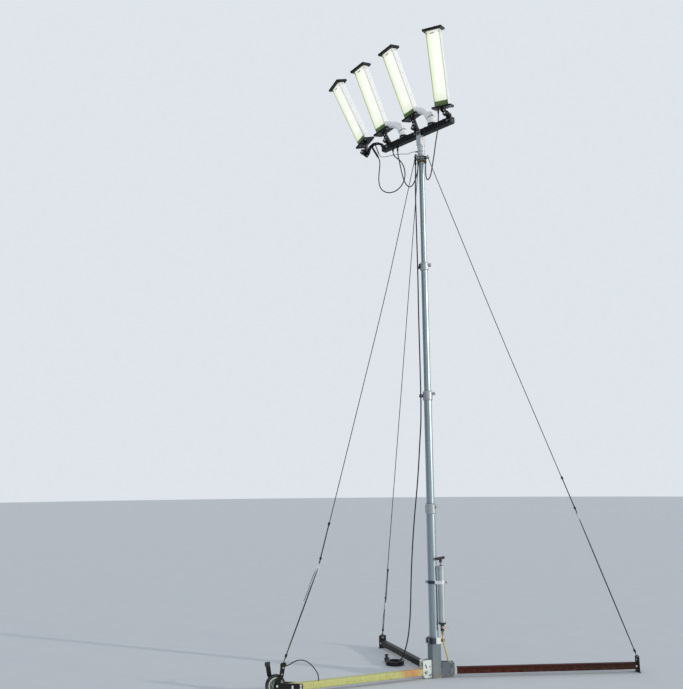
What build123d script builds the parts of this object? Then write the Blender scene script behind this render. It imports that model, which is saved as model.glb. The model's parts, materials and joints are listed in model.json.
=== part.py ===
# A hand-pumped telescopic mast on three box legs, with a crossbar of four box lamps on top.
# Millimetres, +Z up, origin on the ground at the mast's axis. The left leg runs towards -X,
# the right leg towards +X and the back leg towards +Y.
import os
from math import cos, radians, sin, tan

from build123d import *

# Clearances
FACE_GAP = 0.3
SLIDE_GAP = 0.2

# Mast tubes, outermost first: outside diameter and wall of each section
TUBE_OD = [75.0, 67.0, 58.0, 50.0]
TUBE_WALL = [2.5, 2.2, 2.0, 2.0]
GUIDE_HEIGHT = 60.0

# Heights of the three lock collars and of the head fitting
COLLAR_BASE_Z = [1300.0, 2250.0, 3400.0]
COLLAR_HEIGHT = [80.0, 80.0, 70.0]
COLLAR_WALL = 8.0
COLLAR_GRIP = 48.0
HEAD_BASE_Z = 4470.0
TUBE_BOTTOM_Z = [8.0, 920.0, 1990.0, 3050.0]
TUBE_END = 22.0

# Split lug on each collar for its lock screw
LUG_DEPTH = 24.0
LUG_WIDTH = 22.0
LUG_HEIGHT = 34.0
LUG_ANGLE = -12.0
LUG_SLOT = 3.0

# Base post
POST_SIZE = 82.0
POST_WALL = 3.2
POST_HEIGHT = 262.0
POST_ANGLE = 22.8
CLAMP_HEIGHT = 48.0
CLAMP_EDGE = 4.0
CLAMP_LUG = 36.0
CLAMP_KNOB_RADIUS = 15.0

# Legs: direction from +X, reach from the mast's axis, and the beam
LEG_ANGLE = {"left": 202.8, "back": 108.0, "right": 4.0}
LEG_REACH = {"left": 1262.0, "back": 1190.0, "right": 1690.0}
LEG_SIZE = 50.0
LEG_WALL = 3.0
LEG_UNDERSIDE = 25.0
LEG_START = 62.0
CORNER = 4.0

# Leg brackets: two cheeks and a web under the leg
BRACKET_REACH = {"left": 122.0, "back": 112.0, "right": 158.0}
CHEEK_WALL = 4.0
CHEEK_TOP = {"left": 142.0, "back": 128.0, "right": 118.0}
CHEEK_BOTTOM = 6.0
BRACKET_WEB = 5.0
LEG_BOLT_RADIUS = 6.0
LEG_BOLT_INSET = 26.0
CHEEK_SLOT_LENGTH = 34.0
CHEEK_SLOT_RISE = 46.0
CHEEK_HOLE_RADIUS = 6.0

# End plates of the back and right legs
END_PLATE_WIDTH = 68.0
END_PLATE_HEIGHT = 118.0
END_PLATE_THICK = 10.0
EYE_HOLE_RADIUS = 7.0

# Transport wheel on the left leg
WHEEL_RADIUS = 76.0
WHEEL_WIDTH = 36.0
WHEEL_GAP = 22.0
AXLE_RADIUS = 8.0
AXLE_GAP = 0.08
FORK_WALL = 8.0
FORK_TOP = 236.0
HORN_LEAN = 54.0
HORN_WIDTH = 34.0

# Hand pump beside the lowest section
PUMP_X = 68.0
PUMP_Y = -22.0
PUMP_RADIUS = 27.5
PUMP_WALL = 2.5
PUMP_BOTTOM_Z = 430.0
PUMP_TOP_Z = 862.0
PUMP_CAP_HEIGHT = 16.0
PUMP_CAP_LIP = 2.0
PUMP_ROD_RADIUS = 6.0
PUMP_STROKE = 290.0
PISTON_HEIGHT = 20.0
HANDLE_Z = 938.0
HANDLE_RADIUS = 11.0
HANDLE_LENGTH = 130.0
HANDLE_ANGLE = 57.0
PUMP_CLAMP_Z = 746.0
PUMP_CLAMP_HEIGHT = 26.0
PUMP_CLAMP_WALL = 4.0
VALVE_RADIUS = 15.0
VALVE_HEIGHT = 52.0
LEVER_Z = 392.0
LEVER_LENGTH = 56.0
LEVER_HUB = 10.0
LEVER_WALL = 6.0
HOSE_RADIUS = 6.0

# Crossbar on the head
BAR_ANGLE = -48.0
BAR_SIZE = 56.0
BAR_WALL = 3.0
BAR_RISE = 210.0
BAR_FAR_END = -472.0
BAR_NEAR_END = 372.0
HEAD_SLEEVE_WALL = 8.0
HEAD_SLEEVE_HEIGHT = 92.0
SLEEVE_ROOF = 10.0
SADDLE_WALL = 6.0
SADDLE_WIDTH = 50.0
SADDLE_RISE = 40.0

# Lamps: place of each pivot and lower flange along the bar and above its centre, then the
# lean of all four towards the bar's near side, and each one's tilt along the bar and turn
PIVOT_AT = [(-720.0, 42.0), (-408.0, 58.0), (-48.0, 60.0), (334.0, 62.0)]
FLANGE_AT = [(-726.0, 144.0), (-465.0, 170.0), (-92.0, 185.0), (270.0, 147.0)]
ARM_ROUTE = [
    (-470.0, 2.0), (-500.0, 58.0), (-552.0, 86.0), (-610.0, 96.0), (-664.0, 78.0),
    (-688.0, 26.0), (-720.0, 4.0),
]
ARM_WIDTH = 22.0
BAR_CAP_THICK = 5.0
LAMP_LEAN = 16.0
LAMP_TILT = [16.9, 10.3, 9.6, -6.4]
LAMP_TURN = [-8.0, 5.0, 3.0, 23.0]
LAMP_WIDTH = 130.0
LAMP_DEPTH = 70.0
LAMP_LENGTH = 655.0
LAMP_WALL = 3.0
LAMP_CORNER = 7.0
FLANGE_WIDTH = 176.0
FLANGE_DEPTH = 124.0
FLANGE_THICK = 16.0
BOSS_RADIUS = 26.0
BOSS_HEIGHT = 18.0
NECK_WIDTH = 24.0
NECK_EYE_RADIUS = 17.0
FORK_EAR = 6.0
FORK_PAD = 8.0
PIVOT_RADIUS = 5.0
PIVOT_GAP = 0.08
KNOB_STEM = 12.0
KNOB_RADIUS = 26.0
KNOB_HEIGHT = 24.0

# Elbow pipes of the second and third lamps: landing on the bar, bend radius, slope and lean
ELBOW_LANDING = {1: -208.0, 2: 140.0}
ELBOW_BEND = {1: 180.0, 2: 200.0}
ELBOW_SLOPE = {1: 20.0, 2: 23.0}
ELBOW_LEAN = 5.0
ELBOW_FOOT = 5.0
ELBOW_RUN = 150.0
ELBOW_RADIUS = 32.0
BELL_RADIUS = 37.0
BELL_ANGLE = 34.0
SOCKET_RADIUS = 42.0
SOCKET_HEIGHT = 16.0

# Guys and the ring that holds them: places given as distance along the leg and height
RING_DROP = 24.0
GUY_RING_THICK = 6.0
RING_HUB_DROP = 14.0
RING_DISC_RADIUS = 58.0
GUY_HOLE_CIRCLE = 60.0
GUY_HOLE_RADIUS = 8.0
GUY_RADIUS = 3.5
STOP_RADIUS = 10.0
STOP_HEIGHT = 12.0
GUY_SAG = {"left": (394.0, 3110.0), "back": (560.0, 2520.0), "right": (650.0, 2852.0)}
TENSIONER_PLACE = {"left": (1014.0, 907.0), "back": (1121.0, 400.0), "right": (1263.0, 1262.0)}
TENSIONER_SIZE = (70.0, 22.0, 4.0)
SAG_RADIUS = 5000.0

# Cables
CABLE_RADIUS = 5.0
POWER_RADIUS = 5.5
LINK_RADIUS = 2.5
LEG_CABLE_RADIUS = 4.0
GLAND_RADIUS = 9.0
RING_GLAND_DROP = 50.0
BAR_GLAND_DROP = 24.0
CLIP_CENTRE = (-58.0, 4.0)
CLIP_HEIGHT = 26.0
COIL_RADIUS = 86.0
COIL_BAND = 42.0
COIL_HEIGHT = 34.0
COIL_CENTRE = (-296.0, 452.0)
PLUG_RADIUS = 22.0
PLUG_LENGTH = 74.0
PLUG_TAIL = 26.0
PLUG_OFFSET = 40.0
HOSE_BOSS_AT = 112.0
HOSE_BOSS_HEIGHT = 22.0

os.makedirs("parts", exist_ok=True)

BAR_DIR = Vector(cos(radians(BAR_ANGLE)), sin(radians(BAR_ANGLE)), 0)
BAR_SIDE = Vector(-sin(radians(BAR_ANGLE)), cos(radians(BAR_ANGLE)), 0)
UP = Vector(0, 0, 1)
BAR_CENTRE_Z = HEAD_BASE_Z + BAR_RISE
BAR_TOP_Z = BAR_CENTRE_Z + BAR_SIZE / 2
BAR_UNDER_Z = BAR_CENTRE_Z - BAR_SIZE / 2
GUY_RING_Z = HEAD_BASE_Z - RING_DROP
BAR_PLANE = Plane(origin=(0, 0, 0), x_dir=BAR_DIR, z_dir=-BAR_SIDE)
TUBE_R = [od / 2 for od in TUBE_OD]
BORE_R = [od / 2 - wall for od, wall in zip(TUBE_OD, TUBE_WALL)]
FORK_INSIDE = NECK_WIDTH / 2 + FACE_GAP
LAMP_PIVOT = [(along, BAR_CENTRE_Z + rise) for along, rise in PIVOT_AT]
LAMP_FLANGE = [(along, BAR_CENTRE_Z + rise) for along, rise in FLANGE_AT]


def save(part, name):
    """Label a finished piece and write it."""
    part.label = name
    export_step(part, f"parts/{name}.step")


def on_bar(along, z, side=0.0):
    """A point given along the bar, at a height and to the bar's far side."""
    return BAR_DIR * along + BAR_SIDE * side + UP * z


def near_bar(along, rise, side=0.0):
    """A point given along the bar, above its centre line and to its far side."""
    return on_bar(along, BAR_CENTRE_Z + rise, side)


def leant(angle):
    """The direction up, leant towards the bar's near side."""
    return UP * cos(radians(angle)) - BAR_SIDE * sin(radians(angle))


def leg_dir(name):
    """Unit vector from the mast along a leg."""
    return Vector(cos(radians(LEG_ANGLE[name])), sin(radians(LEG_ANGLE[name])), 0)


def leg_plane(name, distance=0.0, z=0.0):
    """Plane across a leg: its normal runs along the leg and its local y is up."""
    return Plane(origin=leg_dir(name) * distance + UP * z, x_dir=leg_dir(name).cross(UP) * -1,
                 z_dir=leg_dir(name))


def cord_radii(points, share=0.45):
    """Bend radius at each inner point, as large as its two runs allow."""
    places = [Vector(point) for point in points]
    radii = []
    for before, here, after in zip(places, places[1:], places[2:]):
        run_in, run_out = here - before, after - here
        half_turn = radians(run_in.get_angle(run_out) / 2)
        radii.append(share * min(run_in.length, run_out.length) / tan(half_turn))
    return radii


def cord(points, radius, name):
    """A cord's tube along straight runs and tangent arcs, written to its own file."""
    radii = cord_radii(points)
    with BuildPart() as tube:
        with BuildLine() as route:
            FilletPolyline(*points, radius=radii)
        with BuildSketch(Plane(origin=route.line @ 0, z_dir=route.line % 0)):
            Circle(radius)
        sweep()
    print(f"{name}: volume {tube.part.volume:.0f}, radii {[round(value) for value in radii]}")
    save(tube.part, name)


def mast_tube(index, foot_profile, top_z):
    """One mast tube, revolved from the outline of its foot and the height of its top."""
    with BuildPart() as tube:
        with BuildSketch(Plane.XZ):
            with BuildLine():
                Polyline(*foot_profile, (TUBE_R[index], top_z), (BORE_R[index], top_z), close=True)
            make_face()
        revolve(axis=Axis.Z)
    return tube.part


def sliding_section(index, top_z):
    """A tube whose guide ring at its foot fills the tube outside it."""
    bottom = TUBE_BOTTOM_Z[index]
    guide = BORE_R[index - 1] - SLIDE_GAP
    foot = [
        (BORE_R[index], bottom),
        (guide, bottom),
        (guide, bottom + GUIDE_HEIGHT),
        (TUBE_R[index], bottom + GUIDE_HEIGHT),
    ]
    return mast_tube(index, foot, top_z)


def lock_collar(index):
    """A collar that grips one tube and guides the next, with a split lug for its lock screw."""
    low, high = COLLAR_BASE_Z[index], COLLAR_BASE_Z[index] + COLLAR_HEIGHT[index]
    grip, guide = TUBE_R[index], TUBE_R[index + 1] + SLIDE_GAP
    rim = TUBE_R[index] + COLLAR_WALL
    lug_plane = Plane.XY.offset(high - LUG_HEIGHT).rotated((0, 0, LUG_ANGLE))
    with BuildPart() as collar:
        with BuildSketch(Plane.XZ):
            with BuildLine():
                Polyline(
                    (grip, low),
                    (rim - 3, low),
                    (rim, low + 5),
                    (rim, high - 9),
                    (rim - 6, high),
                    (guide, high),
                    (guide, low + COLLAR_GRIP),
                    (grip, low + COLLAR_GRIP),
                    close=True,
                )
            make_face()
        revolve(axis=Axis.Z)
        with BuildSketch(lug_plane):
            with Locations((rim + LUG_DEPTH / 2 - 4, 0)):
                RectangleRounded(LUG_DEPTH + 8, LUG_WIDTH, 4)
        extrude(amount=LUG_HEIGHT - 10)
        with BuildSketch(lug_plane):
            Circle(guide)
            with Locations((rim + LUG_DEPTH / 2, 0)):
                Rectangle(LUG_DEPTH * 2, LUG_SLOT)
        extrude(amount=LUG_HEIGHT, mode=Mode.SUBTRACT)
    return collar.part


bottom = TUBE_BOTTOM_Z[0]
closed_foot = [(BORE_R[0], bottom + TUBE_END), (0, bottom + TUBE_END), (0, bottom), (TUBE_R[0], bottom)]
save(mast_tube(0, closed_foot, COLLAR_BASE_Z[0] + COLLAR_GRIP), "mast_section_1")
save(sliding_section(1, COLLAR_BASE_Z[1] + COLLAR_GRIP), "mast_section_2")
save(sliding_section(2, COLLAR_BASE_Z[2] + COLLAR_GRIP), "mast_section_3")
save(sliding_section(3, HEAD_BASE_Z + HEAD_SLEEVE_HEIGHT - SLEEVE_ROOF), "mast_section_4")
for index in range(3):
    save(lock_collar(index), f"lock_collar_{index + 1}")

# Base post: a square tube with a floor that the lowest section stands on
post_plane = Plane.XY.rotated((0, 0, POST_ANGLE))
with BuildPart() as post:
    with BuildSketch(post_plane):
        RectangleRounded(POST_SIZE, POST_SIZE, CORNER)
    extrude(amount=POST_HEIGHT)
    with BuildSketch(post_plane.offset(TUBE_BOTTOM_Z[0])):
        Rectangle(POST_SIZE - 2 * POST_WALL, POST_SIZE - 2 * POST_WALL)
    extrude(amount=POST_HEIGHT, mode=Mode.SUBTRACT)
save(post.part, "base_post")

# Clamp on top of the post, round the lowest section, with a split lug and a knob
lug_centre = (POST_SIZE + CLAMP_LUG) / 2
with BuildPart() as clamp:
    with BuildSketch(post_plane.offset(POST_HEIGHT)):
        RectangleRounded(POST_SIZE + 2 * CLAMP_EDGE, POST_SIZE + 2 * CLAMP_EDGE, 12)
        with Locations((lug_centre, 0)):
            RectangleRounded(CLAMP_LUG, LUG_WIDTH + 8, CORNER)
        Circle(TUBE_R[0], mode=Mode.SUBTRACT)
        with Locations((lug_centre, 0)):
            Rectangle(CLAMP_LUG, LUG_SLOT, mode=Mode.SUBTRACT)
    extrude(amount=CLAMP_HEIGHT)
save(clamp.part, "base_clamp")

knob_centre = Vector(lug_centre + 4, -LUG_WIDTH / 2 - 4, POST_HEIGHT + CLAMP_HEIGHT / 2)
clamp_side = Plane(
    origin=knob_centre.rotate(Axis.Z, POST_ANGLE),
    x_dir=Vector(1, 0, 0).rotate(Axis.Z, POST_ANGLE),
    z_dir=Vector(0, -1, 0).rotate(Axis.Z, POST_ANGLE),
)
with BuildPart() as clamp_knob:
    with BuildSketch(clamp_side):
        Circle(CLAMP_KNOB_RADIUS * 0.6)
    extrude(amount=8)
    with BuildSketch(clamp_side.offset(8)):
        Circle(CLAMP_KNOB_RADIUS)
        with PolarLocations(CLAMP_KNOB_RADIUS, 6):
            Circle(4, mode=Mode.SUBTRACT)
    extrude(amount=18)
save(clamp_knob.part, "base_clamp_knob")

# Legs, their brackets and pivot bolts
BOLT_Z = LEG_UNDERSIDE + LEG_SIZE / 2


def leg(name):
    """One hollow box beam with a bolt hole near its root."""
    with BuildPart() as beam:
        with BuildSketch(leg_plane(name, LEG_START, BOLT_Z)):
            RectangleRounded(LEG_SIZE, LEG_SIZE, CORNER)
            Rectangle(LEG_SIZE - 2 * LEG_WALL, LEG_SIZE - 2 * LEG_WALL, mode=Mode.SUBTRACT)
        extrude(amount=LEG_REACH[name] - LEG_START)
        with BuildSketch(bolt_plane(name)):
            Circle(LEG_BOLT_RADIUS)
        extrude(amount=LEG_SIZE, both=True, mode=Mode.SUBTRACT)
    return beam.part


def bolt_plane(name):
    """Vertical plane along a leg, at its pivot bolt."""
    return Plane(
        origin=leg_dir(name) * (BRACKET_REACH[name] - LEG_BOLT_INSET) + UP * BOLT_Z,
        x_dir=leg_dir(name),
        z_dir=leg_dir(name).cross(UP),
    )


def bracket(name):
    """Two cheeks and a web that take the leg's root, cut to sit on the post's face."""
    half = LEG_SIZE / 2
    reach, top = BRACKET_REACH[name], CHEEK_TOP[name]
    side = Plane(origin=(0, 0, 0), x_dir=leg_dir(name), z_dir=leg_dir(name).cross(UP))
    web_top = LEG_UNDERSIDE
    with BuildPart() as cheeks:
        with BuildSketch(side):
            with BuildLine():
                Polyline(
                    (0, CHEEK_BOTTOM),
                    (reach - 18, CHEEK_BOTTOM),
                    (reach, CHEEK_BOTTOM + 22),
                    (reach, top),
                    (0, top),
                    close=True,
                )
            make_face()
            with Locations((reach - LEG_BOLT_INSET, BOLT_Z)):
                Circle(LEG_BOLT_RADIUS, mode=Mode.SUBTRACT)
            with Locations((reach - LEG_BOLT_INSET, BOLT_Z + CHEEK_SLOT_RISE)):
                SlotOverall(CHEEK_SLOT_LENGTH, 2 * CHEEK_HOLE_RADIUS, rotation=70, mode=Mode.SUBTRACT)
            with Locations((POST_SIZE / 2 + 20, BOLT_Z + CHEEK_SLOT_RISE - 6)):
                Circle(CHEEK_HOLE_RADIUS, mode=Mode.SUBTRACT)
        extrude(amount=half + CHEEK_WALL, both=True)
        with BuildSketch(side):
            with Locations((reach, web_top + top)):
                Rectangle(4 * reach, 2 * top)
        extrude(amount=half, both=True, mode=Mode.SUBTRACT)
        with BuildSketch(side):
            with Locations((reach, web_top - BRACKET_WEB - top)):
                Rectangle(4 * reach, 2 * top)
        extrude(amount=half, both=True, mode=Mode.SUBTRACT)
        with BuildSketch(post_plane):
            Rectangle(POST_SIZE, POST_SIZE)
        extrude(amount=POST_HEIGHT, mode=Mode.SUBTRACT)
    return cheeks.part


def pivot_bolts():
    """Three cross bolts with hexagon heads and nuts."""
    half = LEG_SIZE / 2 + CHEEK_WALL
    with BuildPart() as bolts:
        for name in LEG_ANGLE:
            with BuildSketch(bolt_plane(name)):
                Circle(LEG_BOLT_RADIUS)
            extrude(amount=half + 8, both=True)
            for side in (1, -1):
                with BuildSketch(bolt_plane(name).offset(side * half)):
                    RegularPolygon(LEG_BOLT_RADIUS * 1.7, 6)
                extrude(amount=side * 7)
    return bolts.part


for name in LEG_ANGLE:
    save(leg(name), f"{name}_leg")
save(Compound([bracket(name).solid() for name in LEG_ANGLE]), "leg_brackets")
save(pivot_bolts(), "leg_bolts")


def end_plate(name):
    """Upright plate that closes a leg, stands on the ground and holds the guy's eye."""
    with BuildPart() as plate:
        with BuildSketch(leg_plane(name, LEG_REACH[name], END_PLATE_HEIGHT / 2)):
            RectangleRounded(END_PLATE_WIDTH, END_PLATE_HEIGHT, 8)
        extrude(amount=END_PLATE_THICK)
        with BuildSketch(leg_plane(name, LEG_REACH[name], END_PLATE_HEIGHT - 16)):
            Circle(EYE_HOLE_RADIUS)
        extrude(amount=END_PLATE_THICK, mode=Mode.SUBTRACT)
    return plate.part


PLATES = {name: end_plate(name) for name in ("back", "right")}
save(Compound([plate.solid() for plate in PLATES.values()]), "leg_end_plates")

# Left leg's end: fork arms beside the beam, a cross plate, an axle and the transport wheel
WHEEL_AT = LEG_REACH["left"] + WHEEL_GAP + WHEEL_RADIUS
left_side = Plane(origin=(0, 0, 0), x_dir=leg_dir("left"), z_dir=leg_dir("left").cross(UP))
fork_inside = LEG_SIZE / 2
horn_half = HORN_WIDTH / 2


def fork_arm(side):
    """One fork arm from beside the beam to the axle, with a horn that leans along the leg."""
    lean = HORN_LEAN * side
    with BuildPart() as arm:
        with BuildSketch(left_side.offset(side * (fork_inside + FORK_WALL / 2))):
            with BuildLine():
                Polyline(
                    (LEG_REACH["left"] - 110, LEG_UNDERSIDE + 6),
                    (WHEEL_AT - 12, WHEEL_RADIUS - 24),
                    (WHEEL_AT + 22, WHEEL_RADIUS - 18),
                    (WHEEL_AT + 22, WHEEL_RADIUS + 14),
                    (WHEEL_AT + horn_half + lean * 0.7, WHEEL_RADIUS + 64),
                    (WHEEL_AT + horn_half + lean, FORK_TOP),
                    (WHEEL_AT - horn_half + lean, FORK_TOP),
                    (WHEEL_AT - horn_half + lean * 0.7, WHEEL_RADIUS + 64),
                    (WHEEL_AT - 26, WHEEL_RADIUS + 18),
                    (LEG_REACH["left"] - 110, LEG_UNDERSIDE + LEG_SIZE - 6),
                    close=True,
                )
            make_face()
        extrude(amount=FORK_WALL / 2, both=True)
    return arm.part


wheel_plane = left_side.shift_origin(left_side.from_local_coords((WHEEL_AT, WHEEL_RADIUS, 0)))
with BuildPart() as fork:
    add(fork_arm(1))
    add(fork_arm(-1))
    with BuildSketch(leg_plane("left", LEG_REACH["left"], LEG_UNDERSIDE + LEG_SIZE / 2)):
        Rectangle(2 * (fork_inside + FORK_WALL), LEG_SIZE - 16)
    extrude(amount=CHEEK_WALL)
    with BuildSketch(wheel_plane):
        Circle(AXLE_RADIUS)
    extrude(amount=fork_inside + FORK_WALL, both=True)
    for side in (1, -1):
        with BuildSketch(wheel_plane.offset(side * (fork_inside + FORK_WALL))):
            RegularPolygon(AXLE_RADIUS * 1.7, 6)
        extrude(amount=side * 8)
save(fork.part, "left_fork")

with BuildPart() as wheel:
    with BuildSketch(wheel_plane):
        Circle(WHEEL_RADIUS)
    extrude(amount=WHEEL_WIDTH / 2, both=True)
    fillet(wheel.edges(), 7)
    for side in (1, -1):
        with BuildSketch(wheel_plane.offset(side * WHEEL_WIDTH / 2)):
            Circle(WHEEL_RADIUS - 16)
            Circle(AXLE_RADIUS + 12, mode=Mode.SUBTRACT)
        extrude(amount=-side * 8, mode=Mode.SUBTRACT)
        with BuildSketch(wheel_plane):
            Circle(AXLE_RADIUS + 8)
        extrude(amount=side * (fork_inside - FACE_GAP))
    with BuildSketch(wheel_plane):
        Circle(AXLE_RADIUS + AXLE_GAP)
    extrude(amount=LEG_SIZE, both=True, mode=Mode.SUBTRACT)
save(wheel.part, "transport_wheel")

# Pump: barrel with two caps, its clamp to the mast, the valve below and the hose
pump_axis = Plane.XY.shift_origin((PUMP_X, PUMP_Y, 0))
pump_bore = PUMP_RADIUS - PUMP_WALL
with BuildPart() as barrel:
    with BuildSketch(pump_axis.offset(PUMP_BOTTOM_Z)):
        Circle(PUMP_RADIUS)
        Circle(pump_bore, mode=Mode.SUBTRACT)
    extrude(amount=PUMP_TOP_Z - PUMP_BOTTOM_Z)
save(barrel.part, "pump_barrel")

with BuildPart() as top_cap:
    with BuildSketch(pump_axis.offset(PUMP_TOP_Z)):
        Circle(PUMP_RADIUS + PUMP_CAP_LIP)
        Circle(PUMP_ROD_RADIUS + AXLE_GAP, mode=Mode.SUBTRACT)
    extrude(amount=PUMP_CAP_HEIGHT)
    fillet(top_cap.edges().group_by(Axis.Z)[-1].sort_by(SortBy.LENGTH)[-1], 3)
save(top_cap.part, "pump_top_cap")

with BuildPart() as valve:
    with BuildSketch(pump_axis.offset(PUMP_BOTTOM_Z - PUMP_CAP_HEIGHT)):
        Circle(PUMP_RADIUS + PUMP_CAP_LIP)
    extrude(amount=PUMP_CAP_HEIGHT)
    with BuildSketch(pump_axis.offset(PUMP_BOTTOM_Z - PUMP_CAP_HEIGHT - VALVE_HEIGHT)):
        Circle(VALVE_RADIUS)
    extrude(amount=VALVE_HEIGHT)
    fillet(valve.edges().group_by(Axis.Z)[0], 3)
save(valve.part, "pump_valve")

lever_plane = Plane(
    origin=(PUMP_X, PUMP_Y - VALVE_RADIUS - FACE_GAP, LEVER_Z), x_dir=(1, 0, 0), z_dir=(0, -1, 0)
)
with BuildPart() as lever:
    with BuildSketch(lever_plane):
        Circle(LEVER_HUB)
    extrude(amount=LEVER_WALL * 2)
    with BuildSketch(lever_plane.offset(LEVER_WALL)):
        Circle(LEVER_HUB)
        with Locations((LEVER_LENGTH, 0)):
            Circle(LEVER_HUB - 2)
        make_hull()
    extrude(amount=LEVER_WALL)
save(lever.part, "valve_lever")

with BuildPart() as pump_clamp:
    with BuildSketch(Plane.XY.offset(PUMP_CLAMP_Z - PUMP_CLAMP_HEIGHT / 2)):
        Circle(TUBE_R[0] + PUMP_CLAMP_WALL)
        with Locations((PUMP_X, PUMP_Y)):
            Circle(PUMP_RADIUS + PUMP_CLAMP_WALL)
        make_hull()
        Circle(TUBE_R[0], mode=Mode.SUBTRACT)
        with Locations((PUMP_X, PUMP_Y)):
            Circle(PUMP_RADIUS, mode=Mode.SUBTRACT)
    extrude(amount=PUMP_CLAMP_HEIGHT)
save(pump_clamp.part, "pump_clamp")

with BuildPart() as plunger:
    with BuildSketch(pump_axis.offset(PUMP_BOTTOM_Z + 60)):
        Circle(pump_bore - SLIDE_GAP)
    extrude(amount=PISTON_HEIGHT)
    with BuildSketch(pump_axis.offset(PUMP_BOTTOM_Z + 60)):
        Circle(PUMP_ROD_RADIUS)
    extrude(amount=HANDLE_Z - HANDLE_RADIUS - 18 - PUMP_BOTTOM_Z - 60)
save(plunger.part, "pump_plunger")

grip_plane = Plane(
    origin=(PUMP_X, PUMP_Y, HANDLE_Z),
    x_dir=(0, 0, 1),
    z_dir=(cos(radians(HANDLE_ANGLE)), sin(radians(HANDLE_ANGLE)), 0),
)
with BuildPart() as handle:
    with BuildSketch(grip_plane):
        Circle(HANDLE_RADIUS)
    extrude(amount=HANDLE_LENGTH / 2, both=True)
    fillet(handle.edges(), 5)
    with BuildSketch(pump_axis.offset(HANDLE_Z - HANDLE_RADIUS - 18)):
        Circle(13)
    with BuildSketch(pump_axis.offset(HANDLE_Z)):
        Circle(10)
    loft()
save(handle.part, "pump_handle")

# Head fitting: a sleeve on the top section that opens into a saddle for the crossbar
with BuildPart() as head:
    with BuildSketch(Plane.XY.offset(HEAD_BASE_Z)):
        Circle(TUBE_R[3] + HEAD_SLEEVE_WALL)
    extrude(amount=HEAD_SLEEVE_HEIGHT)
    chamfer(head.edges().group_by(Axis.Z)[0], 3)
    block_plane = Plane(origin=(0, 0, HEAD_BASE_Z + HEAD_SLEEVE_HEIGHT), x_dir=BAR_DIR, z_dir=UP)
    with BuildSketch(block_plane):
        Rectangle(SADDLE_WIDTH, BAR_SIZE + 2 * SADDLE_WALL)
    extrude(amount=BAR_UNDER_Z - HEAD_BASE_Z - HEAD_SLEEVE_HEIGHT + SADDLE_RISE)
    with BuildSketch(block_plane.offset(BAR_UNDER_Z - HEAD_BASE_Z - HEAD_SLEEVE_HEIGHT)):
        Rectangle(SADDLE_WIDTH, BAR_SIZE)
    extrude(amount=SADDLE_RISE, mode=Mode.SUBTRACT)
    with BuildSketch(Plane.XY.offset(HEAD_BASE_Z)):
        Circle(TUBE_R[3])
    extrude(amount=HEAD_SLEEVE_HEIGHT - SLEEVE_ROOF, mode=Mode.SUBTRACT)
save(head.part, "head_fitting")

# Crossbar: a square tube closed at both ends
with BuildPart() as crossbar:
    with BuildSketch(Plane(origin=on_bar(BAR_FAR_END, BAR_CENTRE_Z), x_dir=BAR_SIDE, z_dir=BAR_DIR)):
        RectangleRounded(BAR_SIZE, BAR_SIZE, CORNER)
    extrude(amount=BAR_NEAR_END - BAR_FAR_END)
    inside = on_bar(BAR_FAR_END + BAR_CAP_THICK, BAR_CENTRE_Z)
    with BuildSketch(Plane(origin=inside, x_dir=BAR_SIDE, z_dir=BAR_DIR)):
        Rectangle(BAR_SIZE - 2 * BAR_WALL, BAR_SIZE - 2 * BAR_WALL)
    extrude(amount=BAR_NEAR_END - BAR_FAR_END - 2 * BAR_CAP_THICK, mode=Mode.SUBTRACT)
save(crossbar.part, "crossbar")


# Lamps
def lamp_plane(index):
    """Plane of a lamp's lower flange: its normal is the lamp's long axis."""
    tilt = radians(LAMP_TILT[index])
    up = BAR_DIR * -sin(tilt) + leant(LAMP_LEAN) * cos(tilt)
    across = BAR_DIR * cos(tilt) + leant(LAMP_LEAN) * sin(tilt)
    origin = on_bar(*LAMP_FLANGE[index])
    return Plane(origin=origin, x_dir=across.rotate(Axis((0, 0, 0), up), LAMP_TURN[index]), z_dir=up)


def lamp_housing(index):
    """The lamp's box: an open rectangular sleeve between its two flanges."""
    with BuildPart() as housing:
        with BuildSketch(lamp_plane(index).offset(FLANGE_THICK)):
            RectangleRounded(LAMP_WIDTH, LAMP_DEPTH, LAMP_CORNER)
            Rectangle(LAMP_WIDTH - 2 * LAMP_WALL, LAMP_DEPTH - 2 * LAMP_WALL, mode=Mode.SUBTRACT)
        extrude(amount=LAMP_LENGTH)
    return housing.part


def lamp_flanges(index):
    """The two flange plates that close a lamp's box."""
    with BuildPart() as flanges:
        for level in (0, FLANGE_THICK + LAMP_LENGTH):
            with BuildSketch(lamp_plane(index).offset(level)):
                RectangleRounded(FLANGE_WIDTH, FLANGE_DEPTH, 6)
            extrude(amount=FLANGE_THICK)
    return flanges.part


def lamp_neck(index, half_width, pin_gap):
    """Eye at the pivot, flat stem and round boss under the lamp's flange."""
    pivot, flange = LAMP_PIVOT[index], LAMP_FLANGE[index]
    tilt = radians(LAMP_TILT[index])
    foot = (flange[0] + BOSS_HEIGHT * sin(tilt), flange[1] - BOSS_HEIGHT * cos(tilt))
    with BuildPart() as neck:
        with BuildSketch(lamp_plane(index)):
            Circle(BOSS_RADIUS)
        extrude(amount=-BOSS_HEIGHT)
        with BuildSketch(BAR_PLANE):
            with Locations(pivot):
                Circle(NECK_EYE_RADIUS)
            with Locations(foot):
                Circle(NECK_EYE_RADIUS)
            make_hull()
            with Locations(pivot):
                Circle(PIVOT_RADIUS + pin_gap, mode=Mode.SUBTRACT)
        extrude(amount=half_width, both=True)
        with BuildSketch(lamp_plane(index)):
            Rectangle(4 * BOSS_RADIUS, 4 * BOSS_RADIUS)
        extrude(amount=4 * BOSS_RADIUS, mode=Mode.SUBTRACT)
    return neck.part


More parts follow.
